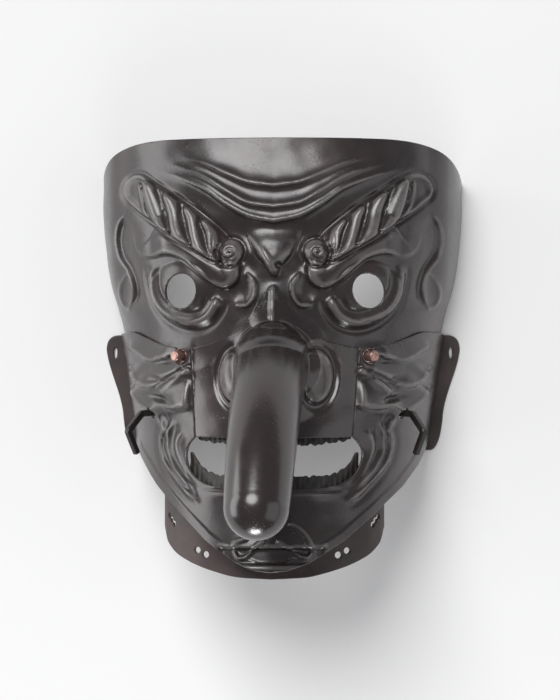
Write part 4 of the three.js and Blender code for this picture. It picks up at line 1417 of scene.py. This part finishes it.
@dataclass
class EarFlanges:
    """The flat ear plates, each with a lacing slot and a leg inside the cheek."""

    finish: bpy.types.Material
    bottom: float = -50.0
    leg: float = 11.0
    slot: tuple = (90.5, 2.5, 0.8, 3.0)

    def outline(self) -> Outline:
        """The plate's outline for the left side."""
        t = np.linspace(0, 1, 16)[:, None]

        def arc(*knots: Sequence[float]) -> Array:
            """A curve that leaves and arrives along its outer knots."""
            k = np.array(knots, float)
            if len(k) == 3:
                return (1 - t) ** 2 * k[0] + 2 * t * (1 - t) * k[1] + t * t * k[2]
            return (1 - t) ** 3 * k[0] + 3 * t * (1 - t) ** 2 * k[1] + 3 * t * t * (1 - t) * k[2] + t**3 * k[3]

        corner = arc((88.5, FLANGE_TOP), (95.5, FLANGE_TOP), (95.5, 4))
        waist = arc((95.5, 4), (94, -8), (88, -18), (86.5, -30))
        foot = arc((86.5, -30), (85, self.bottom), (79, self.bottom))
        return Outline(np.vstack([corner, waist[1:], foot[1:], [(73.5, self.bottom), (76.5, FLANGE_TOP)]]))

    def build(self) -> None:
        """Makes both plates."""
        for side in Side:
            node = side.word + "_ear_flange"
            outline = self.outline()
            xs, ys = np.arange(72, 97.5, 0.5), np.arange(self.bottom - 1, FLANGE_TOP + 1.5, 0.6)
            x, y = np.meshgrid(xs, ys)
            cup = 0.25 * np.sin(0.09 * y) * smooth(80, 95, x)
            front = np.stack([x, y, SHEET + np.minimum(cup, 0)], axis=-1)
            back = np.stack([x, y, 0 * x], axis=-1)
            metal = np.minimum(outline.inside(x, y), -ellipse(*self.slot).inside(x, y))
            if side is Side.RIGHT:
                front, back, metal = front[:, ::-1] * [-1, 1, 1], back[:, ::-1] * [-1, 1, 1], metal[:, ::-1]
            mesh = SheetGrid(front, back, metal, np.zeros_like(x), edge=0.35).mesh(side.word + "_ear_plate")
            self.add_leg(mesh, side)
            piece_from(mesh, self.finish, [node])

    def add_leg(self, mesh: bpy.types.Mesh, side: Side) -> None:
        """Stands the leg on the plate's inner edge."""
        edge = [(73.6, self.bottom + 0.3), (75.0, self.bottom + 0.3), (78.0, FLANGE_TOP - 0.3), (76.6, FLANGE_TOP - 0.3)]
        shape = bmesh.new()
        low, high = (
            [shape.verts.new(Vector((side.value * x, y, z)) * MM) for x, y in edge] for z in (0.4, self.leg)
        )
        shape.faces.new(low)
        shape.faces.new(high)
        for k in range(4):
            shape.faces.new((low[k], low[(k + 1) % 4], high[(k + 1) % 4], high[k]))
        bmesh.ops.recalc_face_normals(shape, faces=shape.faces)
        bmesh.ops.bevel(shape, geom=shape.edges[:], offset=0.3 * MM, segments=2, affect="EDGES")
        shape.from_mesh(mesh)
        shape.to_mesh(mesh)
        shape.free()


def framed(direction: Array) -> tuple[Array, Array]:
    """Two directions square to one."""
    side = np.cross(direction, [0, 0, 1.0] if abs(direction[2]) < 0.9 else [0, 1.0, 0])
    side /= np.linalg.norm(side)
    return side, np.cross(side, direction)


@dataclass
class Pins:
    """The copper pins that hold the plates together, each in a copper-lined hole."""

    face: Face
    finish: bpy.types.Material
    place: tuple = (47.6, 1.0)
    radius: float = 2.7
    proud: float = 6.0
    buried: float = 6.0
    hole: float = 4.0

    def turned(self, name: str, foot: Array, out: Array, profile: Sequence[Sequence[float]], sides: int = 40) -> bpy.types.Mesh:
        """A turned body on the face: rings of (radius, height), slightly out of round."""
        u, v = framed(out)
        angle = np.linspace(0, 2 * math.pi, sides, endpoint=False)
        wobble = 1 + 0.02 * np.sin(3 * angle + foot[0])
        points, faces = [], []
        for radius, height in profile:
            ring = foot + out * height + (np.cos(angle)[:, None] * u + np.sin(angle)[:, None] * v) * (radius * wobble)[:, None]
            points.append(ring)
        for j in range(len(profile) - 1):
            for k in range(sides):
                n = (k + 1) % sides
                faces.append((j * sides + k, j * sides + n, (j + 1) * sides + n, (j + 1) * sides + k))
        if profile[0] != profile[-1]:
            faces += [tuple(range(sides)), tuple(range((len(profile) - 1) * sides, len(profile) * sides))]
        worn = np.concatenate([np.full(sides, 0.5 if height > self.proud - 1 else 0.0) for _, height in profile])
        return mesh_from(name, np.vstack(points), faces, worn)

    def build(self) -> None:
        """Makes both pins and the linings of their holes."""
        r, top = self.radius, self.proud
        pin = [(r * 0.9, -self.buried), (r, -self.buried + 0.4), (r * 0.97, 0), (r, top - 0.7), (r * 0.93, top - 0.2)]
        pin += [(r * 0.75, top), (r * 0.4, top + 0.12), (r * 0.1, top + 0.05)]
        h = self.hole
        lining = [(h - 0.1, -2.2), (h - 0.1, 0.9), (h - 0.25, 1.1), (h - 0.5, 0.9), (h - 0.5, -2.2), (h - 0.1, -2.2)]
        for side in Side:
            foot, out = self.face.place(side.value * self.place[0], self.place[1])
            word = side.word
            piece_from(self.turned(word + "_pin_head", foot, out, pin), self.finish, [word + "_pin"])
            piece_from(self.turned(word + "_pin_lining", foot, out, lining), self.finish, [])


@dataclass
class CordHooks:
    """The bent square rods for the cords, one on each cheek."""

    face: Face
    finish: bpy.types.Material
    place: tuple = (64.0, -28.5)
    thickness: float = 3.4
    buried: float = 4.0
    proud: float = 7.0
    KNEES = ((75.8, -37.6, 69.0), (71.8, -49.0, 65.0))
    bend: float = 0.9

    def path(self) -> Array:
        """The left rod's middle line, with tight rounded knees."""
        foot, out = self.face.place(*self.place)
        corners = [foot - out * self.buried, foot + out * self.proud, *(np.array(k) for k in self.KNEES)]
        line = [corners[0], (corners[0] + corners[1]) / 2]
        for before, knee, after in zip(corners[:-2], corners[1:-1], corners[2:]):
            into, away = knee - before, after - knee
            a, b = knee - into / np.linalg.norm(into) * self.bend, knee + away / np.linalg.norm(away) * self.bend
            line += [(1 - t) ** 2 * a + 2 * t * (1 - t) * knee + t * t * b for t in np.linspace(0, 1, 6)]
        return np.array([*line, (corners[-2] + corners[-1]) / 2, corners[-1]])

    def section(self) -> Array:
        """A square with cut corners."""
        h, c = self.thickness / 2, 0.45
        return np.array([(h, c - h), (h, h - c), (h - c, h), (c - h, h), (-h, h - c), (-h, c - h), (c - h, -h), (h - c, -h)])

    def build(self) -> None:
        """Makes both rods."""
        path, section = self.path(), self.section()
        tangents = np.gradient(path, axis=0)
        tangents /= np.linalg.norm(tangents, axis=1, keepdims=True)
        side_dir = framed(tangents[0])[0]
        points = []
        for k, (centre, tangent) in enumerate(zip(path, tangents)):
            side_dir = side_dir - tangent * (side_dir @ tangent)
            side_dir /= np.linalg.norm(side_dir)
            up = np.cross(tangent, side_dir)
            taper = 1 - 0.12 * k / (len(path) - 1)
            points.append(centre + (section[:, :1] * side_dir + section[:, 1:] * up) * taper)
        count = len(section)
        end = path[-1] + tangents[-1] * 0.4
        points.append(end + (points[-1] - path[-1]) * 0.75)
        rings = len(points)
        faces = [
            (j * count + k, j * count + (k + 1) % count, (j + 1) * count + (k + 1) % count, (j + 1) * count + k)
            for j in range(rings - 1)
            for k in range(count)
        ]
        faces += [tuple(range(count)), tuple(range((rings - 1) * count, rings * count))]
        for side in Side:
            mesh = mesh_from(side.word + "_hook", np.vstack(points) * [side.value, 1, 1], faces)
            mesh.set_sharp_from_angle(angle=math.radians(35))
            piece_from(mesh, self.finish, [side.word + "_cord_hook"])


# ---- Studio ----


@dataclass
class Studio:
    """The pale floor, the soft lights and the camera."""

    camera_distance: float = 1.3
    camera_yaw: float = 3.1
    lens: float = 123.7
    aim: tuple = (-0.0014, 0.004)
    floor_size: float = 8.0

    def floor(self) -> None:
        """A pale matt floor under the part."""
        size = self.floor_size / 2
        mesh = bpy.data.meshes.new("floor")
        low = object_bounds()[0].z
        mesh.from_pydata([(x, y, low) for x, y in ((-size, -size), (size, -size), (size, size), (-size, size))], [], [(0, 1, 2, 3)])
        s = Shader("floor_paper")
        fibre = s.noise(900, 3, 0.6)
        colour = s.mix(fibre, (0.87, 0.868, 0.868), (0.895, 0.892, 0.89))
        mesh.materials.append(s.finish({"Base Color": colour}, {"Roughness": 0.95, "Specular IOR Level": 0.1}))
        plane = bpy.data.objects.new("floor", mesh)
        bpy.context.scene.collection.objects.link(plane)
        plane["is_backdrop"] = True

    def light(self, name: str, place: Sequence[float], size: Sequence[float], power: float) -> bpy.types.Object:
        """A soft rectangular light that faces the part.

        Args:
            name: its name.
            place: where it hangs, in metres.
            size: its width and height, in metres.
            power: its power in watts.

        Returns:
            The light.
        """
        data = bpy.data.lights.new(name, "AREA")
        data.shape = "RECTANGLE"
        data.size, data.size_y = size
        data.energy = power
        lamp = bpy.data.objects.new(name, data)
        lamp.location = place
        lamp.rotation_euler = (Vector((0, 0, 0.08)) - Vector(place)).to_track_quat("-Z", "Y").to_euler()
        lamp.visible_camera = False
        bpy.context.scene.collection.objects.link(lamp)
        return lamp

    def hollow_light(self, name: str, place: Sequence[float], size: Sequence[float], power: float) -> None:
        """A weak light in the hollow behind the face, out of the camera's sight, that faces the floor.

        Args:
            name: its name.
            place: where it hangs, in metres.
            size: its width and height, in metres.
            power: its power in watts.
        """
        lamp = self.light(name, place, size, power)
        lamp.rotation_euler = (0, 0, 0)
        lamp.visible_glossy = False

    def sun(self, name: str, toward: Sequence[float], spread: float, strength: float) -> None:
        """An even light from far off.

        Args:
            name: its name.
            toward: the direction it stands in.
            spread: how wide it looks, in degrees.
            strength: its strength in watts to the square metre.
        """
        data = bpy.data.lights.new(name, "SUN")
        data.angle = math.radians(spread)
        data.energy = strength
        lamp = bpy.data.objects.new(name, data)
        lamp.rotation_euler = Vector(toward).to_track_quat("Z", "Y").to_euler()
        bpy.context.scene.collection.objects.link(lamp)

    def camera(self) -> None:
        """A long lens straight above the part, turned a little to the wearer's left."""
        yaw = math.radians(self.camera_yaw)
        data = bpy.data.cameras.new("camera")
        data.lens = self.lens
        data.sensor_width = 36
        view = bpy.data.objects.new("camera", data)
        far = self.camera_distance
        view.location = (self.aim[0] + far * math.sin(yaw), self.aim[1], far * math.cos(yaw))
        view.rotation_euler = (0, yaw, 0)
        data.clip_start, data.clip_end = 0.05, 50
        bpy.context.scene.collection.objects.link(view)
        bpy.context.scene.camera = view

    def world(self, level: float) -> None:
        """An even grey surround."""
        world = bpy.data.worlds.new("studio")
        world.use_nodes = True
        background = world.node_tree.nodes["Background"]
        background.inputs["Color"].default_value = (0.93, 0.95, 1.0, 1)
        background.inputs["Strength"].default_value = level
        bpy.context.scene.world = world

    def build(self) -> None:
        """Sets up the studio."""
        self.camera()
        self.floor()
        self.world(0.2)
        self.sun("key", (-0.22, 0.55, 0.8), 36, 2.4)
        self.light("side", (-1.35, 0.1, 0.3), (1.5, 0.7), 12)
        self.light("fill", (1.3, -0.3, 0.8), (1.5, 1.3), 5)
        self.light("foot", (0.25, -1.2, 1.1), (1.0, 1.0), 3.5).visible_glossy = False
        self.light("low", (-0.06, -1.3, 0.2), (0.46, 0.42), 13).visible_diffuse = False
        self.hollow_light("under_eyes", (0, 0.034, 0.06), (0.12, 0.05), 0.024)
        view = bpy.context.scene.view_settings
        view.view_transform = "Standard"
        view.look = "None"


def main() -> None:
    """Builds the studio and every piece, in order."""
    logging.basicConfig(level=logging.INFO, format="%(name)s: %(message)s")
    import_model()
    face, relief = Face(), Relief()
    iron = LacqueredIron().material()
    polished = LacqueredIron("polished_iron", roughness=0.21, rough_spread=0.1).material()
    russet = RustyIron("russet_iron", (0.036, 0.026, 0.0255), (0.066, 0.045, 0.043), 0.52, 0.00018).material()
    flange_iron = RustyIron("flange_iron", (0.040, 0.031, 0.030), (0.062, 0.045, 0.043), 0.42, 0.00012).material()
    # The teeth's iron is much darker than the face's: partly their own rough dark iron, partly painted shade for the
    # hollow behind the lips.
    tooth_iron = RustyIron("tooth_iron", (0.012, 0.010, 0.009), (0.035, 0.03, 0.026), 0.5, 0.0009).material()
    black_iron = RustyIron("black_iron", (0.014, 0.0115, 0.011), (0.026, 0.02, 0.018), 0.36, 0.0003).material()
    copper = OldCopper().material()
    Studio().build()
    BrowPlate(face, relief, iron).build()
    JawPlate(face, relief, iron).build()
    NosePlate(face, relief, polished).build()
    ThroatPlate(face, russet).build()
    Teeth(face, tooth_iron).build()
    Pins(face, copper).build()
    CordHooks(face, black_iron).build()
    EarFlanges(flange_iron).build()


if __name__ == "__main__":
    main()
